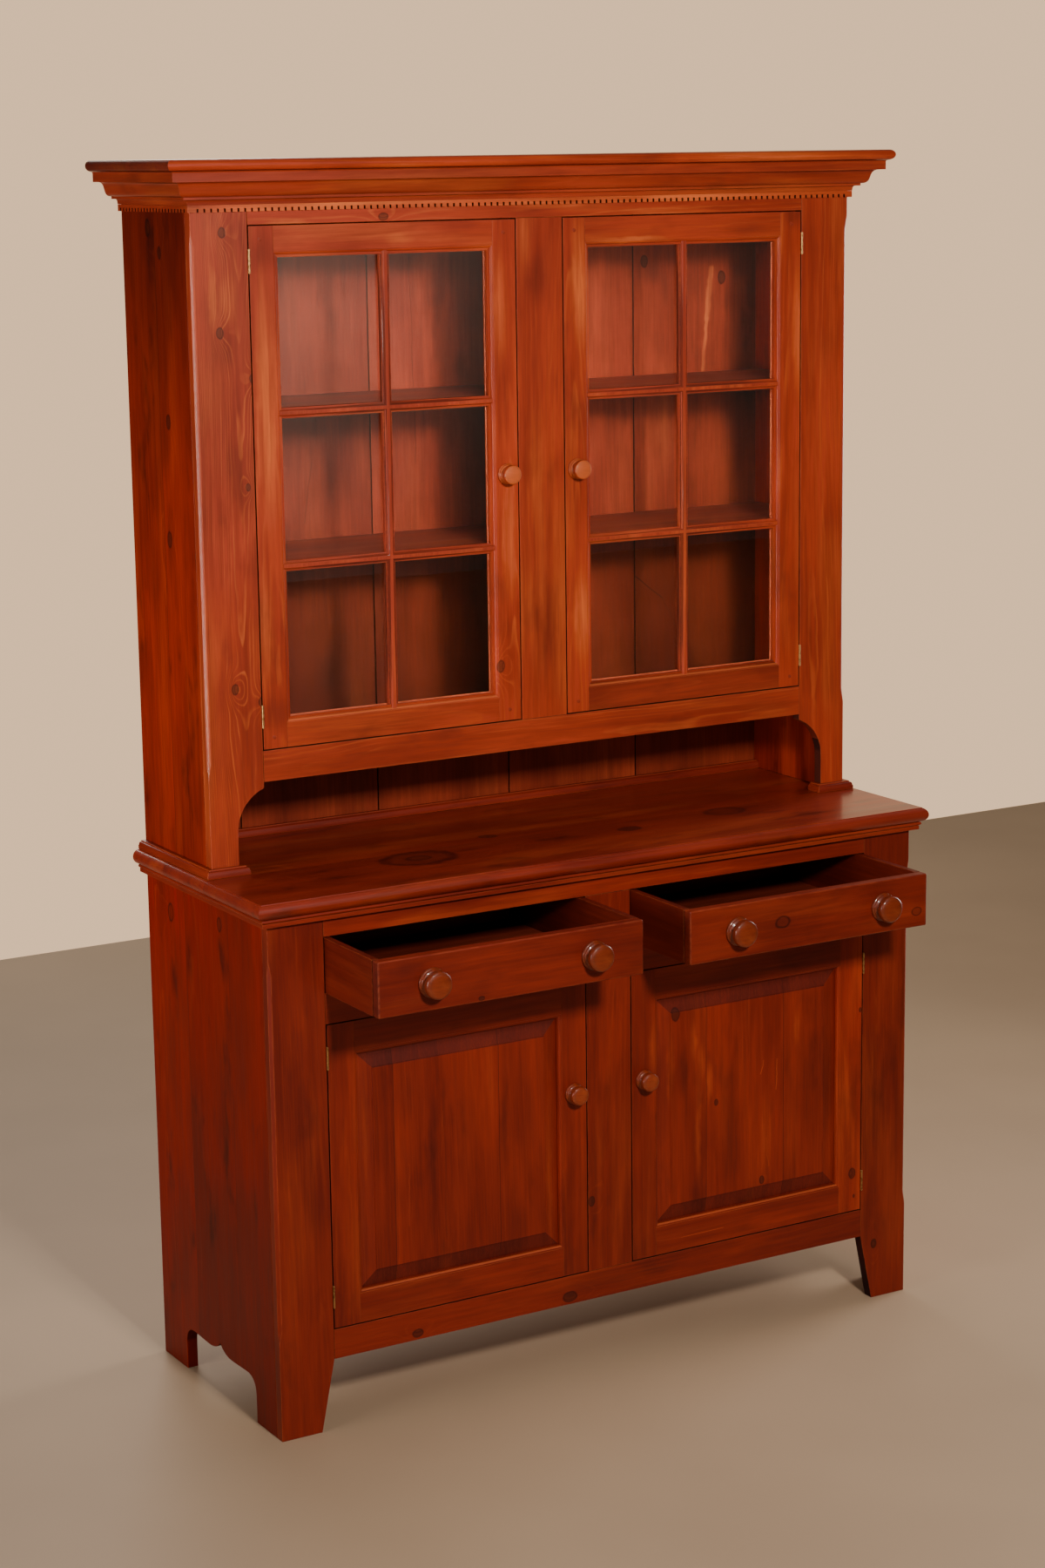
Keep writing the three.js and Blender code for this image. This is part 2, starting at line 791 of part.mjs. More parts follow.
// Fixed half of a butt hinge: a leaf on the stile's edge, the two outer knuckles and the pin
function hinge(name, side, openingEdge, z) {
  const barrelY = -hingeBarrelRadius - seat;
  const knuckle = hingeHeight / 3;
  const leaf = block(
    -hingeLeafThickness / 2,
    hingeLeafThickness / 2,
    0,
    hingeLeaf,
    -hingeHeight / 2,
    hingeHeight / 2,
  );
  const middleGap = block(
    -hingeLeafThickness,
    hingeLeafThickness,
    -hingeBarrelRadius,
    hingeBarrelRadius + seat,
    -knuckle / 2,
    knuckle / 2,
  );
  const knuckles = [-1, 1].map((end) => {
    const barrel = new THREE.CylinderGeometry(hingeBarrelRadius, hingeBarrelRadius, knuckle, 16);
    barrel.rotateX(Math.PI / 2);
    barrel.translate(0, 0, end * knuckle);
    return barrel;
  });
  const pin = new THREE.CylinderGeometry(hingePinRadius, hingePinRadius, hingeHeight - knuckle, 12);
  pin.rotateX(Math.PI / 2);
  const mesh = named(name, join([cut(join([leaf, ...knuckles]), [middleGap]), pin]), brass());
  mesh.position.set(side * (openingEdge - seat - hingeLeafThickness / 2), barrelY, z);
  return mesh;
}

// One row of ring corners for each point of a door frame's section
function doorFrame(width, height, stile, rail, section) {
  const rows = section.map(({ out, y, edge }) => {
    const x = edge ? width / 2 : width / 2 - stile + out;
    const low = edge ? 0 : rail - out;
    return rectangleXZ(-x, x, low, height - low, y);
  });
  return skin(rows, true);
}

function section(points) {
  return points.map(([out, y]) => ({ out, y, edge: false }));
}

const doorEdges = [
  { edge: true, y: doorThickness },
  { edge: true, y: 0 },
];

// Moulded inner edge of a glazed door: a rounded corner, a fillet, then the square sight edge
function glazedSticking2d() {
  const round = new THREE.QuadraticBezierCurve(
    new THREE.Vector2(glazedSticking, 0),
    new THREE.Vector2(glazedFillet, 0),
    new THREE.Vector2(glazedFillet, glazedFilletDepth),
  );
  return [...round.getPoints(4).map((point) => [point.x, point.y]), [0, glazedFilletDepth]];
}

function glazedFrame(width, height) {
  const inner = section([
    ...glazedSticking2d(),
    [0, rebateDepth],
    [rebateWidth, rebateDepth],
    [rebateWidth, doorThickness],
  ]);
  return doorFrame(width, height, glazedStile, glazedRail, [...doorEdges, ...inner]);
}

// One glazing bar's section, as distances across the bar and back from the door's face
function muntinSection() {
  const filletEdge = muntinWidth / 2 - muntinFillet;
  const round = new THREE.QuadraticBezierCurve(
    new THREE.Vector2(muntinFace / 2, muntinSetBack),
    new THREE.Vector2(filletEdge, muntinSetBack),
    new THREE.Vector2(filletEdge, glazedFilletDepth),
  );
  const right = [
    ...round.getPoints(3),
    new THREE.Vector2(muntinWidth / 2, glazedFilletDepth),
    new THREE.Vector2(muntinWidth / 2, rebateDepth),
  ];
  const left = right.map((point) => new THREE.Vector2(-point.x, point.y)).reverse();
  return [...right, ...left];
}

// The bars are coped over the frame's moulded edge, so the cutter is that edge grown by a seat
function copeCutter(width, height) {
  const inner = section([
    ...glazedSticking2d().map(([out, y]) => [out - seat, y - seat]),
    [-seat, rebateDepth + overrun],
  ]);
  const outer = [
    { edge: true, y: rebateDepth + overrun },
    { edge: true, y: -overrun },
  ];
  const start = { ...inner[0], y: -overrun };
  return doorFrame(width, height, glazedStile, glazedRail, [...outer, start, ...inner]);
}

function muntins(width, height) {
  const profile = muntinSection();
  const reachX = width / 2 - glazedStile + rebateWidth;
  const low = glazedRail - rebateWidth;
  const upright = skin([low, height - low].map((z) => (
    profile.map((point) => new THREE.Vector3(point.x, point.y, z))
  )), false);
  const opening = height - 2 * glazedRail;
  const bars = [1, 2].map((third) => skin([-reachX, reachX].map((x) => (
    profile.map((point) => new THREE.Vector3(x, point.y, glazedRail + opening * third / 3 + point.x))
  )), false));
  return cut(join([upright, ...bars]), [copeCutter(width, height)]);
}

function glazedDoor(prefix, side) {
  const width = half - upperStile - upperCentreStile / 2 - 2 * doorGap;
  const height = upperDoorOpening - 2 * doorGap;
  const paneX = width / 2 - glazedStile + rebateWidth - seat;
  const paneZ = glazedRail - rebateWidth + seat;
  const paneY = rebateDepth + seat;
  const pane = block(-paneX, paneX, paneY, paneY + glassThickness, paneZ, height - paneZ);
  const group = new THREE.Group();
  group.add(
    named(prefix + '_frame', glazedFrame(width, height), wood(frameColour)),
    named(prefix + '_muntins', muntins(width, height), wood(frameColour)),
    named(prefix + '_glass', pane, clearGlass()),
    knob(prefix + '_knob', doorKnobDiameter, doorKnobReach, side * (upperKnobInset - width / 2), height / 2),
  );
  group.position.x = side * (upperCentreStile / 2 + doorGap + width / 2);
  group.position.z = upperDoorBottom + doorGap;
  return group;
}

// Panelled door: the frame is grooved for a panel raised by a wide bevel
function panelFrame(width, height) {
  const round = new THREE.QuadraticBezierCurve(
    new THREE.Vector2(panelSticking, 0),
    new THREE.Vector2(0, 0),
    new THREE.Vector2(0, panelStickingDepth),
  );
  const inner = section([
    ...round.getPoints(4).map((point) => [point.x, point.y]),
    [0, grooveStart],
    [grooveDepth, grooveStart],
    [grooveDepth, grooveStart + grooveWidth],
    [0, grooveStart + grooveWidth],
    [0, doorThickness],
  ]);
  return doorFrame(width, height, panelStile, panelRail, [...doorEdges, ...inner]);
}

function raisedPanel(width, height) {
  const tongueFront = grooveStart + seat;
  const tongueBack = grooveStart + grooveWidth - seat;
  const bevelTop = tongueFront - bevelRise;
  const rings = [
    [grooveDepth - seat, tongueBack],
    [grooveDepth - seat, tongueFront],
    [-seat, tongueFront],
    [-bevelWidth, bevelTop],
    [-bevelWidth, bevelTop - fieldStep],
  ];
  return skin(rings.map(([out, y]) => {
    const x = width / 2 - panelStile + out;
    const z = panelRail - out;
    return rectangleXZ(-x, x, z, height - z, y);
  }), false);
}

function panelledDoor(prefix, side) {
  const width = half - baseStile - baseCentreStile / 2 - 2 * doorGap;
  const height = baseDoorOpening - 2 * doorGap;
  const knobX = side * (lowerKnobInset - width / 2);
  const group = new THREE.Group();
  group.add(
    named(prefix + '_frame', panelFrame(width, height), wood(frameColour)),
    named(prefix + '_panel', raisedPanel(width, height), wood(panelColour)),
    knob(prefix + '_knob', doorKnobDiameter, doorKnobReach, knobX, lowerKnobHeight),
  );
  group.position.x = side * (baseCentreStile / 2 + doorGap + width / 2);
  group.position.z = baseDoorBottom + doorGap;
  return group;
}

// Drawer, drawn closed with its front face at zero, then pulled out of the case
function drawer(prefix, side) {
  const width = half - baseStile - baseCentreStile / 2 - 2 * drawerGap;
  const height = drawerOpening - drawerRunGap - drawerTopGap;
  const ease = drawerFrontEase;
  const front = skin([
    rectangleXZ(-width / 2 + ease, width / 2 - ease, ease, height - ease, 0),
    rectangleXZ(-width / 2, width / 2, 0, height, ease),
    rectangleXZ(-width / 2, width / 2, 0, height, drawerFrontThickness),
  ], false);
  const boxFront = drawerFrontThickness + seat;
  const outer = block(-width / 2, width / 2, boxFront, drawerLength, 0, height);
  const hollow = block(
    drawerWall - width / 2,
    width / 2 - drawerWall,
    boxFront - overrun,
    drawerLength - drawerWall,
    drawerFloor,
    height + overrun,
  );
  const middle = height / 2;
  const group = new THREE.Group();
  group.add(
    named(prefix + '_front', front, wood(panelColour)),
    named(prefix + '_box', cut(outer, [hollow]), wood(insideColour)),
    knob(prefix + '_knob_left', drawerKnobDiameter, drawerKnobReach, -drawerKnobSpacing / 2, middle),
    knob(prefix + '_knob_right', drawerKnobDiameter, drawerKnobReach, drawerKnobSpacing / 2, middle),
  );
  group.position.x = side * (baseCentreStile / 2 + drawerGap + width / 2);
  group.position.y = -drawerPulled;
  group.position.z = drawerLevel + drawerRunGap;
  return group;
}

function hingePair(prefix, side, openingEdge, bottom, opening) {
  const group = new THREE.Group();
  const lowest = bottom + doorGap + hingeFromEnd;
  const highest = bottom + opening - doorGap - hingeFromEnd;
  group.add(
    hinge(prefix + '_hinge_bottom', side, openingEdge, lowest),
    hinge(prefix + '_hinge_top', side, openingEdge, highest),
  );
  return group;
}

// The whole cupboard, its origin under the middle of the space that it takes up
const cupboard = new THREE.Group();
const upper = new THREE.Group();
cupboard.add(baseCase(), counter(), upper);
upper.add(upperCase(), cornice());
[['left', -1], ['right', 1]].forEach(([word, side]) => {
  cupboard.add(
    drawer(word + '_drawer', side),
    panelledDoor('lower_' + word + '_door', side),
    hingePair('lower_' + word, side, half - baseStile, baseDoorBottom, baseDoorOpening),
  );
  upper.add(
    glazedDoor('upper_' + word + '_door', side),
    hingePair('upper_' + word, side, half - upperStile, upperDoorBottom, upperDoorOpening),
  );
});
upper.position.set(0, stepBack, counterTop);
cupboard.position.y = (frontReach - baseDepth) / 2;

const object = new THREE.Group();
object.add(cupboard);

export default object;
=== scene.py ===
import json
import random
from math import cos, pi, radians, sin

import bmesh
import bpy
from mathutils import Matrix, Vector

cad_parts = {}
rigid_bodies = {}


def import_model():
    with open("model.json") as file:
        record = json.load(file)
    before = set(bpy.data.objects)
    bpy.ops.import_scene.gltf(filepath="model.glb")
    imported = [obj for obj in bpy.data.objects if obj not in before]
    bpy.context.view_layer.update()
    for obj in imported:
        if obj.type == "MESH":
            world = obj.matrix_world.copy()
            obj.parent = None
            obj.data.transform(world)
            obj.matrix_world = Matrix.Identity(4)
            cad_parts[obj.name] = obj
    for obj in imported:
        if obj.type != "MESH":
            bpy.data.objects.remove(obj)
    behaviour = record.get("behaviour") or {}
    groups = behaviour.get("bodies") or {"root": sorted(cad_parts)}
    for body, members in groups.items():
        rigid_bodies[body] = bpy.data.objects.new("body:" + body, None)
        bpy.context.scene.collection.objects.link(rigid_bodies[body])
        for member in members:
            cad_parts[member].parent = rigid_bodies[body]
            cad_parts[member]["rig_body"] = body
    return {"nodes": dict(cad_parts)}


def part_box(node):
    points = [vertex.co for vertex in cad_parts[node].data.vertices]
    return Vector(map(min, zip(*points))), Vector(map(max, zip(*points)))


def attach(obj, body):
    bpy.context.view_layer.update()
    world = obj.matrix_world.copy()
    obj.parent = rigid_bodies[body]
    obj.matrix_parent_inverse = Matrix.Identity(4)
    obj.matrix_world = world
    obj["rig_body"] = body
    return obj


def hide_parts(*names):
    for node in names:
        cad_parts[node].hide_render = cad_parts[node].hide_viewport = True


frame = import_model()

MM = 0.001
SHARP_ANGLE = radians(40)
FLAT_ANGLE = radians(0.4)
WELD = 0.01 * MM
SOCKET = bpy.types.NodeSocket
AXES = {"X": 0, "Y": 1, "Z": 2}
X, Y, Z = (row.copy() for row in Matrix.Identity(3))

for stray in [each for each in bpy.data.objects if each.name in ("Cube", "Camera", "Light")]:
    bpy.data.objects.remove(stray)
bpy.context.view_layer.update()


# Node helpers
def add(kind, inputs=None, tree=None, **settings):
    """A node with these inputs, in the tree that one of them comes from."""
    inputs = inputs or {}
    tree = tree or next(value.id_data for value in inputs.values() if isinstance(value, SOCKET))
    node = tree.nodes.new("ShaderNode" + kind)
    for name, value in settings.items():
        setattr(node, name, value)
    for key, value in inputs.items():
        if isinstance(value, SOCKET):
            tree.links.new(value, node.inputs[key])
        else:
            node.inputs[key].default_value = value
    return node


def number(operation, *values, clamp=False, tree=None):
    return add("Math", dict(enumerate(values)), tree, operation=operation, use_clamp=clamp).outputs[0]


def times(*values, clamp=False):
    return number("MULTIPLY", *values, clamp=clamp)


def ramp(value, slope, base, clamp=False):
    return number("MULTIPLY_ADD", value, slope, base, clamp=clamp)


def vector(operation, *values):
    node = add("VectorMath", dict(enumerate(values)), operation=operation)
    return node.outputs["Value" if operation in ("LENGTH", "DOT_PRODUCT") else "Vector"]


def coordinate(place, axis):
    return add("SeparateXYZ", {0: place}).outputs[axis]


def mixed(amount, first, second, mode="MIX"):
    node = add("Mix", {0: amount, 6: first, 7: second}, data_type="RGBA", blend_type=mode)
    return node.outputs[2]


def stepped(value, low, high, to_low=0, to_high=1):
    limits = {"Value": value, "From Min": low, "From Max": high, "To Min": to_low, "To Max": to_high}
    return add("MapRange", limits, interpolation_type="SMOOTHSTEP").outputs["Result"]


def centred(colour, amounts):
    """Turns the colour of a noise into steps to both sides."""
    return vector("MULTIPLY", vector("SUBTRACT", colour, (0.5, 0.5, 0.5)), amounts)


def darkened(colour, level):
    grey = add("CombineColor", {0: level, 1: level, 2: level}).outputs[0]
    return mixed(1, colour, grey, "MULTIPLY")


def noise(place, along, scale, detail=2, roughness=0.5, output="Fac"):
    """Noise squeezed to a share of its scale in the third direction, which in wood is the fibres'."""
    squeezed = vector("MULTIPLY", place, (1, 1, along))
    settings = {"Vector": squeezed, "Scale": scale, "Detail": detail, "Roughness": roughness}
    return add("TexNoise", settings).outputs[output]


def new_group(name, inputs, outputs):
    """An empty node group, its inputs, and the sockets that take its results."""
    tree = bpy.data.node_groups.new(name, "ShaderNodeTree")
    for words, side in ((inputs, "INPUT"), (outputs, "OUTPUT")):
        for word, kind in words.items():
            tree.interface.new_socket(word, in_out=side, socket_type="NodeSocket" + kind)
    return tree, tree.nodes.new("NodeGroupInput").outputs, tree.nodes.new("NodeGroupOutput").inputs


def give(sockets, **values):
    for name, value in values.items():
        value.id_data.links.new(value, sockets[name])


def new_material(name):
    """A material that has no shader yet, and the coordinates for it."""
    material = bpy.data.materials.new(name)
    material.use_nodes = True
    material.node_tree.nodes.clear()
    return material, add("TexCoord", tree=material.node_tree).outputs


def surfaced(material, shader):
    """Hands a shader to the material's output."""
    add("OutputMaterial", {"Surface": shader.outputs[0]})
    return material


# Pine, its rings, stain and knots
KNOT_PUSH = 1.6
KNOT_FADE = -0.12


def make_knot_group():
    """Rings pushed aside round one knot, with its dark heart and rim."""
    tree, entry, results = new_group(
        "knot", {"Place": "Vector", "Centre": "Vector", "Spread": "Vector", "Radius": "Float"},
        dict.fromkeys(("Lift", "Core", "Rim"), "Float"))
    wobble = add("TexNoise", {"Vector": entry["Place"], "Scale": 55, "Detail": 2}).outputs["Fac"]
    away = vector("SUBTRACT", entry["Place"], entry["Centre"])
    away = vector("MULTIPLY", away, entry["Spread"])
    steps = number("DIVIDE", vector("LENGTH", away), entry["Radius"])
    ragged = ramp(wobble, 0.5, number("SUBTRACT", steps, 0.25))
    fading = number("EXPONENT", times(times(steps, steps), KNOT_FADE))
    lift = times(times(fading, KNOT_PUSH), entry["Radius"])
    rim = number("SUBTRACT", stepped(ragged, 0.74, 0.96), stepped(ragged, 1, 1.24))
    give(results, Lift=lift, Core=stepped(ragged, 1.05, 0.8), Rim=rim)
    return tree


FIGURE_LEVELS = ("Lift", "Core", "Rim", "Line", "Wear", "Grime", "End", "Warm", "Dusk",
                 "Ring", "Figure", "Golden", "Mottle", "Roughness")
KNOT_HEART = (0.42, 0.8, 0.9, 1)
KNOT_RINGS = (0.75, 1.4, 1.3, 1)
KNOT_RIM = (0.12, 0.16, 0.2, 1)
LINE_COLOUR = (0.035, 0.004, 0.001, 1)
WORN_AND_LIT_COLOUR = (0.66, 0.16, 0.04, 1)


def make_figure_group():
    """Colour, gloss and relief of stained pine. Grain is in metres, its third part along the fibres."""
    tree, entry, results = new_group(
        "stained pine", {"Grain": "Vector", **dict.fromkeys(FIGURE_LEVELS, "Float"),
                         **dict.fromkeys(("Deep", "Stain", "Gold"), "Color")},
        {"Color": "Color", "Roughness": "Float", "Height": "Float"})
    grain = entry["Grain"]
    drift = centred(noise(grain, 0.2, 8, output="Color"), (0.024, 0.024, 0))
    ripple = centred(noise(grain, 0.3, 60, 1, output="Color"), (0.0022, 0.0022, 0))
    flat = vector("ADD", vector("ADD", grain, drift), ripple)
    flat = vector("MULTIPLY", flat, (1, 1, 0))
    radius = number("SUBTRACT", vector("LENGTH", flat), entry["Lift"])
    uneven = add("TexNoise", {"W": radius, "Scale": 70, "Detail": 1}, noise_dimensions="1D")
    turns = number("DIVIDE", radius, entry["Ring"])
    turns = ramp(uneven.outputs["Fac"], 2.4, turns)
    share = number("FRACT", turns)
    year = add("TexWhiteNoise", {"W": number("FLOOR", turns)}, noise_dimensions="1D")
    late = times(stepped(share, 0.56, 0.86), stepped(share, 1, 0.9))
    late = times(late, ramp(year.outputs["Value"], 0.7, 0.3))
    broken = noise(grain, 0.16, 34, 3, 0.6)
    late = times(late, stepped(broken, 0.36, 0.6, 0.12, 1))

    patch = noise(grain, 0.3, 11, 3)
    streak = noise(grain, 0.035, 85, 4, 0.62)
    fibre = noise(grain, 0.012, 900)
    vein = noise(grain, 0.06, 170, 4, 0.7)
    glow = noise(vector("ADD", grain, (3.1, 1.7, 5.3)), 0.16, 15)
    smoke = noise(vector("ADD", grain, (7.7, 4.1, 2.9)), 0.4, 17, 3, 0.6)

    soak = ramp(stepped(patch, 0.36, 0.64), 0.6, 0.12)
    soak = ramp(stepped(streak, 0.3, 0.72), 0.3, soak, clamp=True)
    colour = mixed(soak, entry["Deep"], entry["Stain"])
    bright = times(late, entry["Figure"])
    gleam = ramp(stepped(streak, 0.36, 0.6), 0.5, 0.5)
    field = ramp(stepped(glow, 0.5, 0.72), entry["Golden"], entry["Warm"])
    bright = ramp(gleam, field, bright, clamp=True)
    colour = mixed(bright, colour, entry["Gold"])
    # Darker fields: random mottle and the dusk fields, which are dark stain and on the back boards painted
    # shade
    dusk = ramp(stepped(smoke, 0.55, 0.75), entry["Mottle"], entry["Dusk"])
    dusk = number("SUBTRACT", 1, times(dusk, 0.62, clamp=True))
    fine = times(ramp(fibre, 0.3, 0.85), dusk)
    fine = times(fine, stepped(vein, 0.3, 0.7, 0.89, 1.11))
    rough_end = ramp(fibre, 0.3, 0.3)
    fine = times(fine, add("Mix", {0: entry["End"], 2: 1, 3: rough_end}).outputs[0])
    # Painted shade: faces marked as the walls of gaps and notches are darkened
    fine = times(fine, ramp(entry["Grime"], -0.8, 1))
    colour = darkened(colour, fine)

    rings = stepped(number("FRACT", times(turns, 1.7)), 0.2, 0.9)
    core = mixed(1, entry["Deep"], mixed(rings, KNOT_HEART, KNOT_RINGS), "MULTIPLY")
    rim = mixed(1, entry["Deep"], KNOT_RIM, "MULTIPLY")
    # Lighter where faces are marked worn; on the upward rounds of moulded edges that is partly a painted
    # highlight
    bare = times(entry["Wear"], entry["Wear"])
    rubbed = ramp(bare, 0.4, noise(grain, 0.35, 120, 3))
    rubbed = times(stepped(rubbed, 0.38, 0.66), entry["Wear"])
    worn = mixed(0.5, entry["Gold"], WORN_AND_LIT_COLOUR)
    for where, most, tint in ((entry["Core"], 0.85, core), (entry["Rim"], 0.65, rim),
                              (entry["Line"], 0.8, LINE_COLOUR), (rubbed, 0.45, worn)):
        colour = mixed(times(where, most), colour, tint)

    gloss = number("SUBTRACT", entry["Roughness"], 0.08)
    for value, slope in ((streak, 0.16), (patch, 0.08), (rubbed, 0.15), (entry["End"], 0.3)):
        gloss = ramp(value, slope, gloss)
    gloss = ramp(entry["Grime"], 0.4, gloss, clamp=True)
    relief = times(fibre, 0.4)
    for value, slope in ((late, 0.45), (patch, 0.12), (entry["Rim"], -0.7)):
        relief = ramp(value, slope, relief)
    give(results, Color=colour, Roughness=gloss, Height=relief)
    return tree


KNOT = make_knot_group()
PINE = make_figure_group()

# Stain and varnish by kind of part: two depths of stain, the pale late wood, how strong the
# figure, the golden fields and the dark ones are, and how glossy the varnish is
LOOK_WORDS = ("deep", "stain", "gold", "figure", "golden", "mottle", "rough", "shine", "coat", "coat_rough")
LOOKS = {
    "front": ((0.2, 0.018, 0.006), (0.35, 0.037, 0.0115), (0.62, 0.13, 0.027),
              0.26, 0.45, 0.4, 0.36, 0.22, 0.1, 0.12),
    "base": ((0.118, 0.0076, 0.003), (0.218, 0.017, 0.0055), (0.39, 0.052, 0.011),
             0.14, 0.3, 0.4, 0.4, 0.2, 0.06, 0.16),
    "side": ((0.14, 0.007, 0.002), (0.28, 0.016, 0.0035), (0.48, 0.05, 0.009),
             0.2, 0.45, 0.9, 0.38, 0.15, 0.04, 0.14),
    "counter": ((0.14, 0.009, 0.003), (0.235, 0.018, 0.005), (0.43, 0.066, 0.012),
                0.16, 0.3, 0.8, 0.3, 0.35, 0.3, 0.16),
    "inside": ((0.17, 0.018, 0.007), (0.32, 0.04, 0.014), (0.52, 0.115, 0.034),
               0.2, 0.4, 0.8, 0.42, 0.3, 0.1, 0.25),
}
GRAIN_TURN = {"X": (0, pi / 2, 0), "Y": (-pi / 2, 0, 0), "Z": (0, 0, 0)}
# How far glued boards are moved apart in the figure, in metres, across and along the fibres
SCATTER_SEAM, SCATTER_SIDE, SCATTER_ALONG = 0.09, 0.05, 2.6
REFRACTION = 1.5


def board_shift(place, axis, seams, span, chance, line_width):
    """Moves the figure from one glued board to the next, and marks the glue lines between them."""
    along = coordinate(place, axis)
    edges = [span[0], *seams, span[1]]
    middles = [(low + high) / 2 for low, high in zip(edges, edges[1:])]
    centre, count, line = middles[0], 0, 0
    for seam, jump in zip(seams, (b - a for a, b in zip(middles, middles[1:]))):
        past = number("GREATER_THAN", along, seam)
        centre = ramp(past, jump, centre)
        count = number("ADD", past, count)
        line = number("ADD", number("COMPARE", along, seam, line_width), line)
    count = number("ADD", count, chance.random())
    dice = add("TexWhiteNoise", {"W": count}, noise_dimensions="1D")
    amounts = [SCATTER_SIDE, SCATTER_SIDE, SCATTER_ALONG]
    amounts[axis] = SCATTER_SEAM
    parts = [0, 0, 0]
    parts[axis] = number("SUBTRACT", centre, sum(span) / 2)
    shift = add("CombineXYZ", dict(enumerate(parts))).outputs[0]
    moved = vector("SUBTRACT", place, shift)
    scatter = centred(dice.outputs["Color"], amounts)
    return vector("ADD", moved, scatter), line, dice.outputs["Value"]


def on_face(face, first, second):
    """A place in metres from two coordinates on a face in mm."""
    place = [first * MM, second * MM]
    place.insert(AXES[face], 0)
    return place


def stretch(face, grain, across, along):
    """Scales for distances across and along the fibres of a face, where depth doesn't count."""
    scales = [across] * 3
    scales[AXES[face]] = 0
    scales[AXES[grain]] = along
    return scales


def knot_marks(place, knots, face, grain):
    """Adds up knots, each a place and a radius, and how dark its heart is if not fully."""
    lift, core, rim = 0, 0, 0
    for first, second, size, *heart in knots:
        marks = {"Place": place, "Centre": on_face(face, first, second),
                 "Spread": stretch(face, grain, 1, 0.68), "Radius": size * MM}
        knot = add("Group", marks, node_tree=KNOT).outputs
        lift = number("ADD", knot["Lift"], lift)
        dark = times(knot["Core"], heart[0]) if heart else knot["Core"]
        core = number("MAXIMUM", dark, core)
        rim = number("MAXIMUM", knot["Rim"], rim)
    return lift, core, rim


def stirred(place, scale, detail, amounts):
    """Small steps that move a place about, so that marks get uneven edges."""
    stir = add("TexNoise", {"Vector": place, "Scale": scale, "Detail": detail}).outputs["Color"]
    return centred(stir, amounts)


def soft_fields(place, fields, face, grain):
    """Adds up soft fields of colour, each a place, half width, half length and strength: gold and dark
    stain, and on the back boards painted shade.
    """
    total = 0
    if not fields:
        return total
    moved = vector("ADD", place, stirred(place, 26, 2, (0.014, 0.014, 0.014)))
    for first, second, half_width, half_length, strength in fields:
        away = vector("SUBTRACT", moved, on_face(face, first, second))
        scales = stretch(face, grain, 1 / (half_width * MM), 1 / (half_length * MM))
        steps = vector("LENGTH", vector("MULTIPLY", away, scales))
        total = ramp(stepped(steps, 1.15, 0.1), strength, total)
    return total


def thin_marks(place, marks):
    """Adds up cracks and streaks, each from x, z to x, z with a half width and a strength."""
    total = 0
    if not marks:
        return total
    stir = stirred(place, 40, 3, (0.008, 0, 0))
    moved = vector("ADD", vector("MULTIPLY", place, (1, 0, 1)), stir)
    for x0, z0, x1, z1, half_width, strength in marks:
        start = Vector((x0, 0, z0)) * MM
        run = Vector((x1, 0, z1)) * MM - start
        away = vector("SUBTRACT", moved, tuple(start))
        along = vector("DOT_PRODUCT", away, tuple(run))
        along = number("DIVIDE", along, run.length_squared, clamp=True)
        steps = add("CombineXYZ", {0: along, 1: along, 2: along}).outputs[0]
        aside = vector("SUBTRACT", away, vector("MULTIPLY", steps, tuple(run)))
        near = stepped(vector("LENGTH", aside), half_width * MM, half_width * 0.3 * MM)
        total = ramp(near, strength, total)
    return total


def height_shaded(colour, place, fade, face, middle):
    """Darkens the show side by height, as painted shade where less light falls: fade is (bottom, top, level
    at bottom, below it, at top).
    """
    bottom, top, at_bottom, below, at_top = fade
    height = coordinate(place, 2)
    level = stepped(height, bottom * MM, top * MM, at_bottom, at_top)
    under = number("LESS_THAN", height, bottom * MM)
    level = ramp(under, below - at_bottom, level)
    depth = coordinate(place, AXES[face])
    behind = number("GREATER_THAN", depth, middle[AXES[face]])
    return darkened(colour, number("MAXIMUM", level, behind))


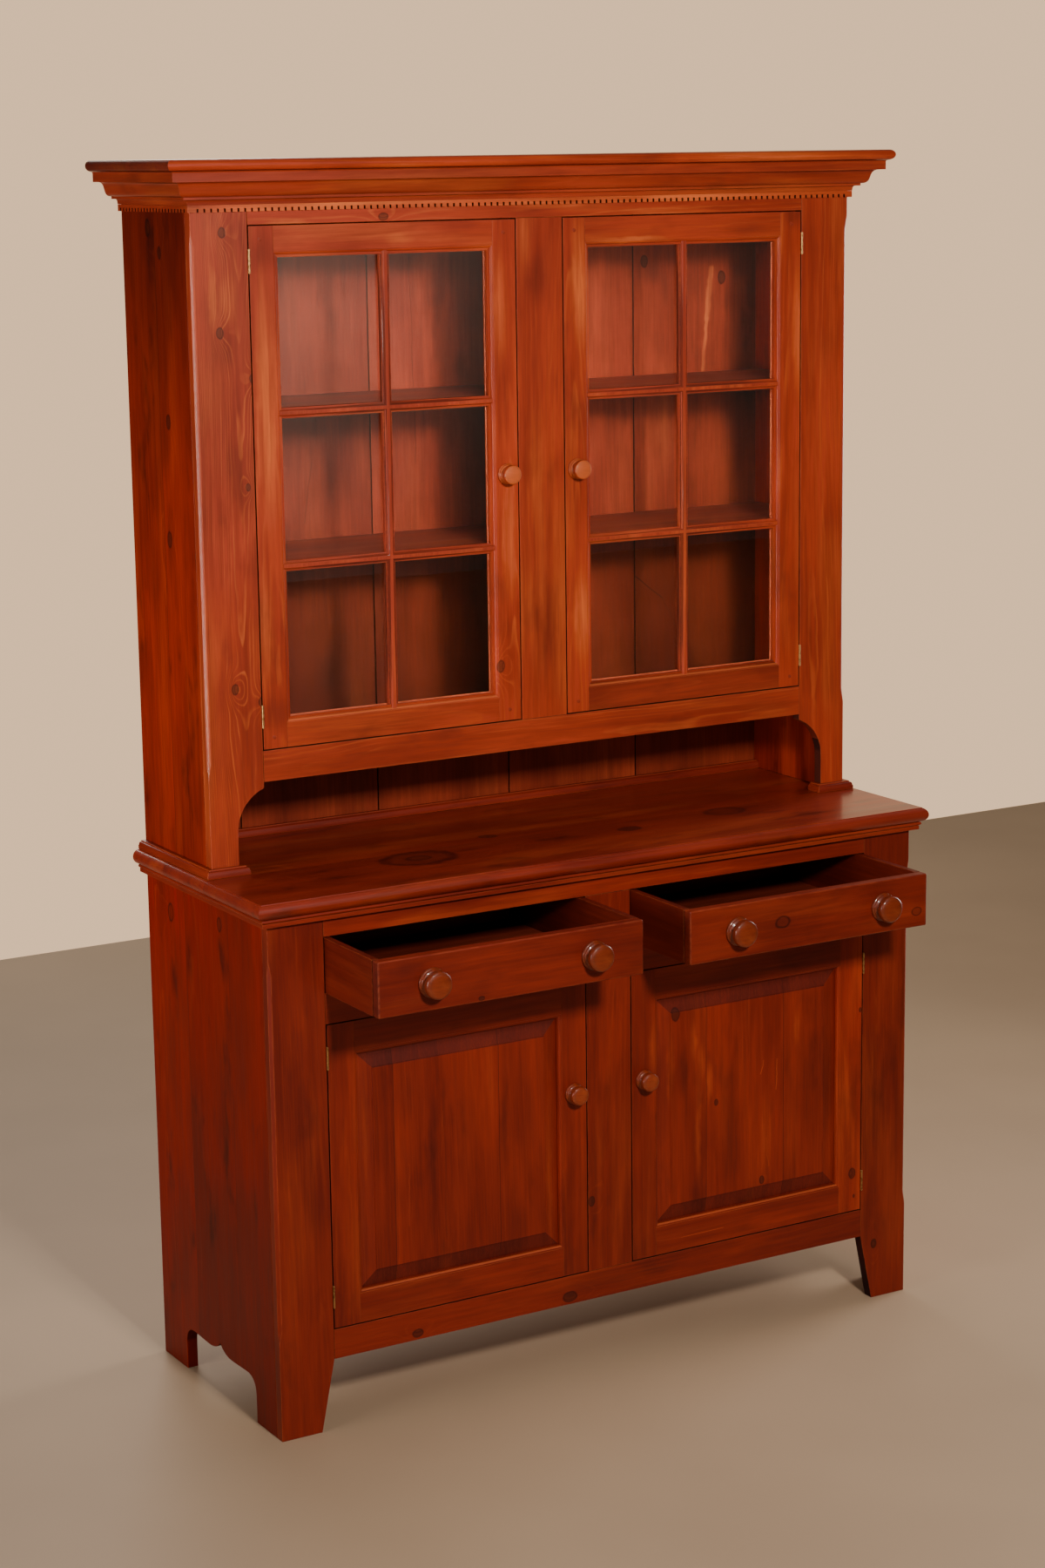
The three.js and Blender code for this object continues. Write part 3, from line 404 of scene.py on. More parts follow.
def pine(name, box, grain, look, face="Y", knots=(), seams=(), warm=(), dusk=(), fade=None, cracks=(),
         streaks=(), **changes):
    """Stained pine for one piece: grain is the axis of its fibres, face the one that it shows along."""
    chance = random.Random(name)
    finish = {**dict(zip(LOOK_WORDS, LOOKS[look])), **changes}
    low, high = box
    middle = (low + high) / 2
    side = 3 - AXES[grain] - AXES[face]
    pith = list(middle)
    pith[side] += finish.get("offset", chance.uniform(-0.3, 0.3)) * (high[side] - low[side])
    pith[AXES[face]] += finish.get("behind", chance.choice((-1, 1)) * chance.uniform(35, 75)) * MM
    tilt = finish.get("tilt", (chance.uniform(-1.2, 1.2), chance.uniform(-1.2, 1.2)))
    turn = list(GRAIN_TURN[grain])
    turn[0] += radians(tilt[0])
    turn[2 if grain == "Y" else 1] += radians(tilt[1])
    shade = finish.get("shade", chance.uniform(0.93, 1.07))

    material, spots = new_material(name)
    place, tree = spots["Object"], material.node_tree
    lift, core, rim = knot_marks(place, knots, face, grain)
    moved, line, tone = place, 0, None
    if seams:
        moved, line, tone = board_shift(place, side, [seam * MM for seam in seams],
                                        (low[side], high[side]), chance, finish.get("seam_line", 0.5) * MM)
    grained = {"Vector": moved, "Location": pith, "Rotation": turn}
    grained = add("Mapping", grained, vector_type="TEXTURE").outputs[0]
    if cracks:
        line = number("ADD", line, thin_marks(place, cracks), clamp=True)
    fibres = [float(letter == grain) for letter in AXES]
    facing = vector("DOT_PRODUCT", spots["Normal"], fibres)
    end_grain = stepped(number("ABSOLUTE", facing), 0.04, 0.17)
    golden = soft_fields(place, warm, face, grain)
    golden = number("ADD", golden, thin_marks(place, streaks), tree=tree)
    mix = {"Grain": grained, "Lift": lift, "Core": core, "Rim": rim, "Line": line, "Warm": golden,
           "Dusk": soft_fields(place, dusk, face, grain),
           "End": times(end_grain, finish.get("end", 1)),
           "Ring": finish.get("ring", chance.uniform(3.2, 4.6)) * MM, "Roughness": finish["rough"]}
    # The face marks: worn edges, partly a painted highlight, and painted shade on the walls of gaps and
    # notches
    for word in ("wear", "grime"):
        mix[word.capitalize()] = add("Attribute", tree=tree, attribute_name=word).outputs["Fac"]
    for word in ("figure", "golden", "mottle"):
        mix[word.capitalize()] = finish[word]
    for word in ("deep", "stain", "gold"):
        mix[word.capitalize()] = (*[part * shade for part in finish[word]], 1)
    wood = add("Group", mix, node_tree=PINE).outputs
    colour = wood["Color"]
    if tone is not None:
        spread = finish.get("tones", 0.3)
        colour = darkened(colour, ramp(tone, spread, 1 - spread / 2))
    if fade:
        colour = height_shaded(colour, place, fade, face, middle)
    bump = add("Bump", {"Strength": 0.35, "Distance": 0.35 * MM, "Height": wood["Height"]})
    return surfaced(material, add("BsdfPrincipled", {
        "Base Color": colour, "Roughness": wood["Roughness"], "Normal": bump.outputs[0],
        "IOR": REFRACTION, "Specular IOR Level": finish["shine"],
        "Coat Weight": finish["coat"], "Coat Roughness": finish["coat_rough"],
    }))


def glass():
    material, spots = new_material("window_glass")
    smears = stepped(noise(spots["Object"], 1, 14, 4), 0.4, 0.75)
    tint = mixed(smears, (0.93, 0.96, 0.95, 1), (0.85, 0.88, 0.86, 1))
    clear = add("BsdfPrincipled", {
        "Base Color": tint, "Roughness": 0, "IOR": REFRACTION, "Transmission Weight": 1,
    })
    straight = add("BsdfTransparent", {"Color": (0.94, 0.96, 0.95, 1)}, material.node_tree)
    shadow = add("LightPath", tree=material.node_tree).outputs["Is Shadow Ray"]
    return surfaced(material, add("MixShader", {0: shadow, 1: clear.outputs[0], 2: straight.outputs[0]}))


def brass():
    material, spots = new_material("satin_brass")
    tarnish = noise(spots["Object"], 1, 160, 3)
    brushed = noise(spots["Object"], 0.1, 1500, 1)
    colour = mixed(stepped(tarnish, 0.42, 0.7), (0.5, 0.29, 0.11, 1), (0.2, 0.11, 0.04, 1))
    bump = add("Bump", {"Strength": 0.2, "Distance": 0.05 * MM, "Height": brushed})
    return surfaced(material, add("BsdfPrincipled", {
        "Base Color": colour, "Metallic": 1, "Roughness": ramp(tarnish, 0.3, 0.2),
        "Normal": bump.outputs[0]}))


GLASS = glass()
BRASS = brass()


# Mesh helpers
def box_shape(low, high):
    bm = bmesh.new()
    bmesh.ops.create_cube(bm, size=1)
    bmesh.ops.scale(bm, vec=Vector(high) - Vector(low), verts=bm.verts)
    bmesh.ops.translate(bm, vec=(Vector(low) + Vector(high)) / 2, verts=bm.verts)
    return bm


# The two face marks that the wood reads: worn edges, on the upward rounds of moulded edges partly a painted
# highlight, and painted shade on the walls of gaps and notches
MARKS = ("wear", "grime")


def face_marks(bm):
    return [bm.faces.layers.float.get(word) or bm.faces.layers.float.new(word) for word in MARKS]


def mark(bm, word, chosen, amount=1):
    """Marks the faces that chosen picks as worn, partly a painted highlight, or as painted shade."""
    bm.normal_update()
    layer = face_marks(bm)[MARKS.index(word)]
    for face in bm.faces:
        if chosen(face):
            face[layer] = amount
    return bm


def on_an_edge(face):
    """Picks the narrow sides of a board that shows its front."""
    return abs(face.normal.y) < 0.5


def cad_shape(node):
    """A joined copy of a CAD node, its flat faces whole."""
    bm = bmesh.new()
    bm.from_mesh(frame["nodes"][node].data)
    bmesh.ops.remove_doubles(bm, verts=bm.verts, dist=WELD)
    bmesh.ops.dissolve_limit(bm, angle_limit=FLAT_ANGLE, verts=bm.verts, edges=bm.edges)
    return bm


def ease(bm, amount, segments=2, least=30, rub=0.5):
    """Rounds the outside corners of at least that many degrees and marks them as worn."""
    bm.normal_update()
    wear = face_marks(bm)[0]
    chosen = [edge for edge in bm.edges
              if edge.is_manifold and edge.calc_face_angle_signed() > radians(least)]
    made = bmesh.ops.bevel(
        bm, geom=chosen, offset=amount, segments=segments, profile=0.5, affect="EDGES",
        material=-1, clamp_overlap=True,
    )
    for face in made["faces"]:
        face[wear] = rub
    return bm


def bar(bm, start, along, across, depth, section):
    """A stick whose section is given as (across, depth) steps from start, run out along its length."""
    corners = [bm.verts.new(start + across * a + depth * d) for a, d in section]
    face = bm.faces.new(corners)
    run = bmesh.ops.extrude_face_region(bm, geom=[face])
    ends = [part for part in run["geom"] if isinstance(part, bmesh.types.BMVert)]
    bmesh.ops.translate(bm, vec=along, verts=ends)
    return [*corners, *ends]


def trim(bm, verts, point, normal):
    """Saws one stick off flat and closes the cut."""
    own = set(verts)
    faces = [face for face in bm.faces if all(vert in own for vert in face.verts)]
    edges = {edge for face in faces for edge in face.edges}
    cut = bmesh.ops.bisect_plane(
        bm, geom=[*own, *edges, *faces], dist=WELD, plane_co=point, plane_no=normal, clear_outer=True,
    )
    rim = [part for part in cut["geom_cut"] if isinstance(part, bmesh.types.BMEdge)]
    bmesh.ops.edgenet_fill(bm, edges=rim)
    kept = [vert for vert in own if vert.is_valid]
    return kept + [vert for vert in {vert for edge in rim for vert in edge.verts} if vert not in own]


def loft(rings):
    """A closed skin over loops of corners, its first and last loop filled in."""
    bm = bmesh.new()
    loops = []
    for ring in rings:
        verts = [bm.verts.new(point) for point in ring]
        loops.append([bm.edges.new((a, b)) for a, b in zip(verts, verts[1:] + verts[:1])])
        if ring in (rings[0], rings[-1]):
            bm.faces.new(verts)
    for first, second in zip(loops, loops[1:]):
        bmesh.ops.bridge_loops(bm, edges=first + second)
    bmesh.ops.recalc_face_normals(bm, faces=bm.faces)
    return bm


def turned(profile, centre, axis, steps):
    """Spins (radius, height) steps about an axis that starts at centre."""
    bm = bmesh.new()
    side = axis.orthogonal().normalized()
    verts = [bm.verts.new(centre + side * radius + axis * height) for radius, height in profile]
    edges = [bm.edges.new(pair) for pair in zip(verts, verts[1:])]
    bmesh.ops.spin(
        bm, geom=[*verts, *edges], cent=centre, axis=axis, angle=2 * pi, steps=steps, use_merge=True,
    )
    bmesh.ops.remove_doubles(bm, verts=bm.verts, dist=WELD)
    bmesh.ops.recalc_face_normals(bm, faces=bm.faces)
    return bm


def joined(shapes):
    """Several separate solids as one mesh."""
    whole = bmesh.new()
    for shape in shapes:
        face_marks(shape)
        spare = bpy.data.meshes.new("spare")
        shape.to_mesh(spare)
        shape.free()
        whole.from_mesh(spare)
        bpy.data.meshes.remove(spare)
    return whole


def placed(name, data):
    """A new object that shows in the scene."""
    thing = bpy.data.objects.new(name, data)
    bpy.context.scene.collection.objects.link(thing)
    return thing


def piece(name, bm, materials, node, stands_for=True, choose=None, sharp=SHARP_ANGLE):
    """A named piece that rides with a CAD node's body, and stands for that node."""
    bmesh.ops.recalc_face_normals(bm, faces=bm.faces)
    if choose:
        for face in bm.faces:
            face.material_index = choose(face)
    mesh = bpy.data.meshes.new(name)
    bm.to_mesh(mesh)
    bm.free()
    for material in materials:
        mesh.materials.append(material)
    mesh.shade_smooth()
    mesh.set_sharp_from_angle(angle=sharp)
    thing = placed(name, mesh)
    thing.modifiers.new("even faces", "WEIGHTED_NORMAL").keep_sharp = True
    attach(thing, frame["nodes"][node]["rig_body"])
    if stands_for:
        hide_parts(node)
    return thing


# Case boards
NOTCH_DEPTH = 0.5 * MM
NOTCH_EDGE = 0.2 * MM


def runs_sideways(face):
    """1 on the runs of a moulding along the sides of the case, 0 on its front run."""
    box_low, box_high = MOULDING_BOX
    middle = face.calc_center_median()
    from_side = min(middle.x - box_low.x, box_high.x - middle.x)
    return 1 if from_side < middle.y - box_low.y else 0


def in_a_notch(face):
    """Picks the walls of the notches cut in the strip under the crown moulding."""
    box_low, box_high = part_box("dentil_strip")
    middle = face.calc_center_median()
    deep = min(middle.y - box_low.y, middle.x - box_low.x, box_high.x - middle.x)
    return deep > NOTCH_DEPTH and box_low.z + NOTCH_EDGE < middle.z < box_high.z - NOTCH_EDGE


# Every board: grain, look, the axis its show side looks along, and what is its own. Marks are in mm on
# that side: knots (place, radius), warm and dusk fields (place, half width, half length, strength),
# cracks and streaks (from x, z to x, z, half width, strength)
PLAIN_BOARDS = {
    "base_stile_centre": ("Z", "base", "Y", dict(knots=[(-38, 305, 6)])),
    "base_top_rail": ("X", "base", "Y", dict(golden=0.5, shade=1.12)),
    "base_bottom_rail": ("X", "base", "Y", dict(knots=[(-84, 139, 9), (-387, 137, 7)])),
    "base_floor": ("X", "inside", "Z", {}),
    "base_shelf": ("X", "inside", "Z", {}),
    "upper_stile_centre": ("Z", "front", "Y", dict(figure=0.14, golden=0.45, dusk=[(-5, 1890, 24, 60, 0.5),
        (10, 1290, 30, 120, 0.45)], warm=[(-12, 1560, 20, 130, 0.25)])),
    "upper_top_rail": ("X", "front", "Y", dict(golden=0.65, figure=0.32, knots=[(-298, 1998, 6)],
        warm=[(-474, 1990, 10, 50, 0.6), (250, 1996, 8, 120, 0.3)], dusk=[(-10, 1995, 12, 60, 0.3)])),
    "upper_bottom_rail": ("X", "front", "Y", dict(golden=0.6, figure=0.3)),
    **dict.fromkeys(("upper_floor", "upper_shelf_lower", "upper_shelf_upper"),
                    ("X", "inside", "Z", dict(shade=0.62))),
}
SHAPED_BOARDS = {
    "base_stile_left": ("Z", "base", "Y", dict(shade=0.87)),
    "base_stile_right": ("Z", "base", "Y", dict(knots=[(577, 105, 6)], shade=0.87)),
    "upper_stile_left": ("Z", "front", "Y", dict(figure=0.5, tilt=(1, 0.5), behind=24, offset=0.25,
        ring=2.5, golden=0.3, coat=0.3, coat_rough=0.1, warm=[(-612, 1880, 10, 60, 0.6),
        (-585, 1870, 20, 50, 0.3)], dusk=[(-575, 1600, 40, 70, 0.5), (-600, 1790, 30, 40, 0.4),
        (-560, 1545, 40, 50, 0.4)], knots=[(-592, 1979, 6), (-601, 1820, 6), (-545, 1745, 5),
        (-559, 1569, 4), (-594, 1237, 6), (-547, 1212, 5)])),
    "upper_stile_right": ("Z", "front", "Y", dict(golden=0.25, mottle=0.2)),
    "base_side_left": ("Z", "side", "X", dict(seams=(20, 190), knots=[(248, 831, 10, 0.5),
        (52, 850, 8, 0.6)], shade=0.84, golden=0.05, stain=(0.26, 0.0068, 0.001))),
    "base_side_right": ("Z", "side", "X", dict(seams=(-10, 150), knots=[(90, 600, 12),
        (260, 320, 9)])),
    # The left side is darkened towards the top, as painted shade
    "upper_side_left": ("Z", "side", "X", dict(seams=(215,), knots=[(239, 1986, 9),
        (196, 1946, 7), (184, 1673, 8), (195, 1477, 9)], golden=0.3, fade=(1450, 2000, 1, 1, 0.6),
        dusk=[(235, 1960, 20, 90, 0.6), (200, 1650, 24, 90, 0.6), (195, 1470, 20, 70, 0.4)])),
    "upper_side_right": ("Z", "side", "X", dict(seams=(195,), knots=[(150, 1700, 10),
        (270, 1300, 8)], shade=1.3)),
    # The back is darkened towards the bottom as painted shade in the lower bays, and its large dusk fields
    # are painted shade: behind the centre stile, along the right side and over the left door's bays
    "upper_back": ("Z", "inside", "Y", dict(seams=(-470.1, -196.8, 76.4, 353.5), seam_line=1.6,
        fade=(1040, 1700, 0.31, 0.8, 1), shine=0.15, coat=0, figure=0.08, golden=0.12, mottle=0.35,
        cracks=[(-113, 1925, -110, 1792, 0.9, 0.7), (-110, 1792, -106, 1560, 0.9, 0.7),
        (-313, 1575, -330, 1469, 1.1, 0.7), (356, 1320, 414, 1274, 1.5, 1),
        (414, 1274, 437, 1237, 1.2, 0.6), (437, 1237, 449, 1200, 1, 0.4)],
        streaks=[(527, 1882, 516, 1790, 8, 1), (516, 1790, 507, 1690, 5, 1)], knots=[(550, 1865, 8),
        (378, 1899, 7)], dusk=[(-330, 1640, 210, 330, 0.58), (-330, 1200, 210, 160, 0.45),
        (60, 1520, 130, 560, 0.9), (600, 1520, 60, 560, 0.5), (628, 1730, 85, 300, 0.55),
        (397, 1880, 34, 30, 0.6), (422, 1850, 16, 36, 0.4), (-290, 1200, 30, 60, 0.4)],
        warm=[(-234, 1150, 26, 50, 0.2), (420, 1600, 20, 120, 0.3)])),
    "base_back": ("Z", "inside", "Y", dict(seams=(-470.1, -196.8, 76.4, 353.5))),
    "drawer_deck": ("X", "base", "Y", {}),
}
EASE = 0.7 * MM
STRIP_EASE = 0.6 * MM

for name, (grain, look, face, changes) in {**PLAIN_BOARDS, **SHAPED_BOARDS}.items():
    wood = pine(name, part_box(name), grain, look, face, **changes)
    if name in PLAIN_BOARDS:
        shape = box_shape(*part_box(name))
        if look != "inside":
            # Painted shade on the narrow sides, the walls of the gaps beside the board
            mark(shape, "grime", on_an_edge)
    else:
        shape = cad_shape(name)
        if "stile" in name:
            towards = -1 if "right" in name else 1
            # Painted shade on the side that faces the opening
            mark(shape, "grime", lambda side: side.normal.x * towards > 0.9)
    piece(name + "_board", ease(shape, EASE), [wood], name)

MOULDINGS = {
    "counter_moulding": ("base", "pine_counter", {}),
    "crown_moulding": ("front", "pine_frame", dict(shade=0.88)),
    "dentil_strip": ("front", "pine_frame",
                     dict(golden=0.9, figure=0.2, shade=1.15, warm=[(0, 60, 60, 900, 0.45)])),
    "foot_moulding_left": ("base", "pine_counter", {}),
    "foot_moulding_right": ("base", "pine_counter", {}),
}
for name, (look, slot, changes) in MOULDINGS.items():
    MOULDING_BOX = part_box(name)
    changes = {"golden": 0.3, "figure": 0.12, "shade": 1, **changes}
    woods = [pine(f"{name}_{grain}", MOULDING_BOX, grain, look, "Z", **changes) for grain in "XY"]
    shape = cad_shape(name)
    if name == "dentil_strip":
        # Painted shade on the walls of the notches
        mark(shape, "grime", in_a_notch)
    else:
        ease(shape, EASE, 2, 50, rub=0.8)
    piece(name + "_run", shape, woods, name, choose=runs_sideways)

strip = pine("counter_back_strip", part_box("counter_back_strip"), "X", "base")
piece("counter_back_strip_run", ease(cad_shape("counter_back_strip"), STRIP_EASE, 2, 50, rub=0.8), [strip],
      "counter_back_strip")

# Counter and top board, with rounded edges
NOSE_STEPS = 20
COUNTER_STEP = 1.2 * MM


def nosed_board(node, fillet=0):
    """A board with round front and side edges, and a small step above them if it has a fillet."""
    low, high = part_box(node)
    radius = (high.z - low.z) / 2
    rings = []
    for i in range(NOSE_STEPS + 1):
        turn = pi * (i / NOSE_STEPS - 0.5)
        z = low.z + radius + radius * sin(turn)
        if not fillet or z <= high.z - fillet:
            rings.append((radius - radius * cos(turn), z))
    if fillet:
        inward = rings[-1][0]
        rings += [(inward + fillet, high.z - fillet), (inward + 1.4 * fillet, high.z)]
    corners = []
    for inward, z in rings:
        x, front = high.x - inward, low.y + inward
        corners.append([Vector(p) for p in ((-x, front, z), (x, front, z), (x, high.y, z), (-x, high.y, z))])
    return loft(corners)


counter_wood = pine(
    "countertop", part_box("countertop"), "X", "counter", "Z", seams=(55, 215),
    knots=[(-293, 8, 44, 0.5), (-293, 8, 15, 0.9), (129, 2, 15), (350, 28, 26, 0.5), (-111, 88, 11)],
    tilt=(0.4, 0.3), end=0.2, rough=0.34)
piece("countertop_board", nosed_board("countertop", COUNTER_STEP), [counter_wood], "countertop")
top_wood = pine("upper_top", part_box("upper_top"), "X", "front", "Z", seams=(180,))
piece("upper_top_board", nosed_board("upper_top"), [top_wood], "upper_top")

# Doors
DOOR_SLACK = Vector((0.15 * MM, 0, 0.15 * MM))
DOOR_EASE = 0.45 * MM


def ovolo(width, depth, quirk, fillet):
    """A moulded edge of these sizes in mm, as (distance from the sight edge, depth) steps in metres."""
    steps = 8
    radius_in = width - 2 * quirk - fillet
    radius_down = depth - 2 * quirk
    points = [(width, 0), (width - 0.4 * quirk, quirk), (width - quirk, quirk)]
    for turn in (pi / 2 * i / steps for i in range(1, steps + 1)):
        points.append((width - quirk - radius_in * sin(turn), quirk + radius_down * (1 - cos(turn))))
    points += [(fillet + quirk, depth), (0, depth)]
    return [(out * MM, deep * MM) for out, deep in points]


# Widths of the frames, and depths of the moulded edge and of the back of the panel's groove
GLAZED = dict(stile=53 * MM, rail=51 * MM, sticking=9 * MM, edge_depth=12 * MM, groove_back=None,
              section=ovolo(9, 5.2, 0.8, 3.6), look="front")
PANELLED = dict(stile=55.5 * MM, rail=58.5 * MM, sticking=6.5 * MM, edge_depth=8.6 * MM,
                groove_back=14 * MM, section=ovolo(6.5, 5, 0.7, 0.4), look="base")
DOOR_MARKS = {
    "upper_left_rail_bottom": dict(golden=0.15, figure=0.08, shade=1.01),
    "upper_right_rail_bottom": dict(golden=0.25, figure=0.1, shade=0.72),
    "lower_left_stile_left": dict(warm=[(-505, 300, 20, 160, 0.2)]),
    "lower_right_stile_left": dict(warm=[(92, 560, 14, 60, 0.4), (107, 390, 10, 130, 0.45)]),
    "lower_right_rail_bottom": dict(streaks=[(49, 208, 150, 202, 0.5, 0.5),
        (150, 202, 240, 203, 0.6, 0.9)]),
    "lower_right_stile_right": dict(shade=1.3, golden=0.4, knots=[(541, 561, 3), (525, 252, 7),
        (530, 207, 2.5)]),
    "upper_left_stile_left": dict(shade=1.1, golden=0.35, warm=[(-520, 1700, 26, 240, 0.55),
        (-535, 1330, 18, 120, 0.3)], dusk=[(-515, 1945, 40, 40, 0.35), (-520, 1190, 30, 40, 0.4)]),
    "upper_left_stile_right": dict(shade=1.2, golden=0.38, knots=[(-87, 1227, 7)],
        warm=[(-66, 1450, 16, 130, 0.45), (-80, 1840, 20, 110, 0.3)], dusk=[(-80, 1700, 26, 90, 0.35)]),
    "upper_left_rail_top": dict(figure=0.05, golden=0.3, mottle=0.4, warm=[(-270, 1960, 12, 30, 0.35)],
        dusk=[(-520, 1960, 40, 60, 0.25)]),
    "upper_right_stile_left": dict(shade=1.04, golden=0.3, warm=[(80, 1880, 22, 120, 0.7),
        (78, 1300, 22, 90, 0.6)], dusk=[(85, 1650, 26, 60, 0.35)]),
    "upper_right_rail_top": dict(figure=0.1, warm=[(190, 1948, 7, 90, 0.7)],
        dusk=[(430, 1960, 20, 60, 0.5)]),
    "upper_right_stile_right": dict(shade=1.13, warm=[(540, 1780, 14, 150, 0.4)],
        dusk=[(530, 1985, 30, 30, 0.6)]),
}
PANEL_MARKS = {
    "left": dict(seams=(-423, -220), dusk=[(-350, 450, 12, 150, 0.6), (-210, 470, 12, 120, 0.5),
        (-190, 290, 30, 60, 0.35), (-400, 560, 24, 60, 0.3)], warm=[(-474, 500, 8, 120, 0.25),
        (-235, 560, 10, 80, 0.2), (-120, 370, 8, 160, 0.3)], streaks=[(-330, 520, -334, 440, 0.8, 0.4),
        (-395, 440, -398, 330, 0.7, 0.35)]),
    "right": dict(seams=(205, 372), knots=[(140, 614, 8), (226, 439, 4), (325, 276, 5)],
        warm=[(130, 520, 8, 90, 0.4), (178, 560, 9, 44, 0.5), (196, 520, 9, 40, 0.5),
        (212, 480, 9, 44, 0.6), (188, 390, 8, 110, 0.4), (335, 360, 16, 90, 0.4), (402, 550, 8, 40, 0.5)],
        dusk=[(158, 510, 12, 60, 0.6), (256, 380, 26, 130, 0.55), (384, 460, 10, 90, 0.3),
        (470, 450, 18, 140, 0.4)], streaks=[(329, 500, 322, 475, 1, 0.8), (358, 498, 356, 441, 1.2, 0.9),
        (335, 354, 340, 300, 1.5, 0.5)]),
}


def round_facing_up(face):
    """Picks the round of a moulded edge where it faces up, which is made lighter: partly worn stain, partly
    a painted highlight of the light from above.
    """
    return face.normal.z > 0.25 and face.normal.y < -0.2


def door_members(prefix, stile, rail, sticking, edge_depth, groove_back, section, look):
    """The stiles and rails of a door, each a flat board with its mitred moulded edge."""
    node = prefix + "_frame"
    low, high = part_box(node)
    low, high = low + DOOR_SLACK, high - DOOR_SLACK
    stile, rail = stile - DOOR_SLACK.x, rail - DOOR_SLACK.z
    width, thick, height = high - low
    members = {
        "stile_left": (Vector(low), Z, X, stile, height),
        "stile_right": (Vector((high.x, low.y, low.z)), Z, -X, stile, height),
        "rail_bottom": (Vector(low), X, Z, rail, width),
        "rail_top": (Vector((low.x, low.y, high.z)), X, -Z, rail, width),
    }
    for name, (start, along, across, broad, length) in members.items():
        upright = along == Z
        flat = broad - sticking
        ends = 0 if upright else stile - sticking
        bm = bmesh.new()
        slab = [(0, 0), (flat, 0), (flat, thick), (0, thick)]
        bar(bm, start + along * ends, along * (length - 2 * ends), across, Y, slab)
        bmesh.ops.recalc_face_normals(bm, faces=bm.faces)
        # Painted shade on the narrow sides, the walls of the gap round the door
        mark(bm, "grime", on_an_edge)
        ease(bm, DOOR_EASE)
        edge_section = [(broad - out, deep) for out, deep in section]
        sections = [edge_section + [(broad, edge_depth), (flat, edge_depth)]]
        if groove_back is not None:
            sections.append([(flat, groove_back), (broad, groove_back), (broad, thick), (flat, thick)])
        other = (rail if upright else stile) - sticking
        for outline in sections:
            edge = bmesh.new()
            stick = bar(edge, start + along * other, along * (length - 2 * other), across, Y, outline)
            corner = start + along * other + across * flat
            stick = trim(edge, stick, corner, across - along)
            corner = start + along * (length - other) + across * flat
            trim(edge, stick, corner, across + along)
            bmesh.ops.recalc_face_normals(edge, faces=edge.faces)
            # The upward rounds: worn, and partly a painted highlight
            mark(edge, "wear", round_facing_up)
            bm = joined([bm, edge])
        far = start + along * length + across * broad
        box = (Vector(min(p) for p in zip(start, far)), Vector(max(p) for p in zip(start, far + Y * thick)))
        title = f"{prefix}_{name}"
        marks = DOOR_MARKS.get(title.replace("_door", ""), {})
        wood = pine(title, box, "Z" if upright else "X", look, **marks)
        piece(title, bm, [wood], node)


HALF_BAR = 6 * MM
PANE_GAP = 1.5 * MM
PANE_FRONT, PANE_BACK = 0.2 * MM, 0.3 * MM
PANE_LEAN, PANE_SWING = 0.06, 0.08
STOP_FRONT, STOP_BACK = 0.1 * MM, 0.3 * MM
STOP_LAP = 1 * MM
STOP_EASE = 1.2 * MM


def glazing(prefix, stile, rail):
    """Six panes, and the stops and bars that hold them from behind."""
    node = prefix + "_glass"
    low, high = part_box(node)
    chance = random.Random(prefix)
    door_low, door_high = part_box(prefix + "_frame")
    left, right = door_low.x + stile, door_high.x - stile
    bottom, top = door_low.z + rail, door_high.z - rail
    middle = (left + right) / 2
    levels = [bottom + (top - bottom) * third / 3 for third in (1, 2)]
    columns = ((low.x, middle - PANE_GAP), (middle + PANE_GAP, high.x))
    rows = ((low.z, levels[0] - PANE_GAP), (levels[0] + PANE_GAP, levels[1] - PANE_GAP),
            (levels[1] + PANE_GAP, high.z))
    panes = []
    for x0, x1 in columns:
        for z0, z1 in rows:
            pane = box_shape((x0, low.y + PANE_FRONT, z0), (x1, high.y - PANE_BACK, z1))
            centre = Vector(((x0 + x1) / 2, (low.y + high.y) / 2, (z0 + z1) / 2))
            lean = Matrix.Rotation(radians(chance.uniform(-PANE_LEAN, PANE_LEAN)), 4, "X")
            swing = Matrix.Rotation(radians(chance.uniform(-PANE_SWING, PANE_SWING)), 4, "Z")
            bmesh.ops.transform(pane, matrix=lean @ swing, space=Matrix.Translation(-centre),
                                verts=pane.verts)
            panes.append(pane)
    piece(prefix + "_panes", joined(panes), [GLASS], node)

    back = door_high.y - STOP_BACK
    front = high.y + STOP_FRONT
    inner_left, inner_right = left + STOP_LAP, right - STOP_LAP
    spans = ((inner_left, middle - HALF_BAR), (middle + HALF_BAR, inner_right))
    uprights = ((low.x, inner_left), (inner_right, high.x), (middle - HALF_BAR, middle + HALF_BAR))
    rungs = ((low.z, bottom + STOP_LAP), (top - STOP_LAP, high.z),
             *((level - HALF_BAR, level + HALF_BAR) for level in levels))
    sticks = [(upright, (low.z, high.z)) for upright in uprights]
    sticks += [(span, rung) for span in spans for rung in rungs]
    shapes = [ease(box_shape((x0, front, z0), (x1, back, z1)), STOP_EASE, 3)
              for (x0, x1), (z0, z1) in sticks]
    woods = [pine(f"{prefix}_stops_{way}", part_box(node), grain, "inside")
             for way, grain in (("upright", "Z"), ("level", "X"))]

    def level_stick(face):
        x = face.calc_center_median().x
        return 1 if any(x0 < x < x1 for x0, x1 in spans) else 0

    piece(prefix + "_glazing_stops", joined(shapes), woods, node,
          stands_for=False, choose=level_stick)


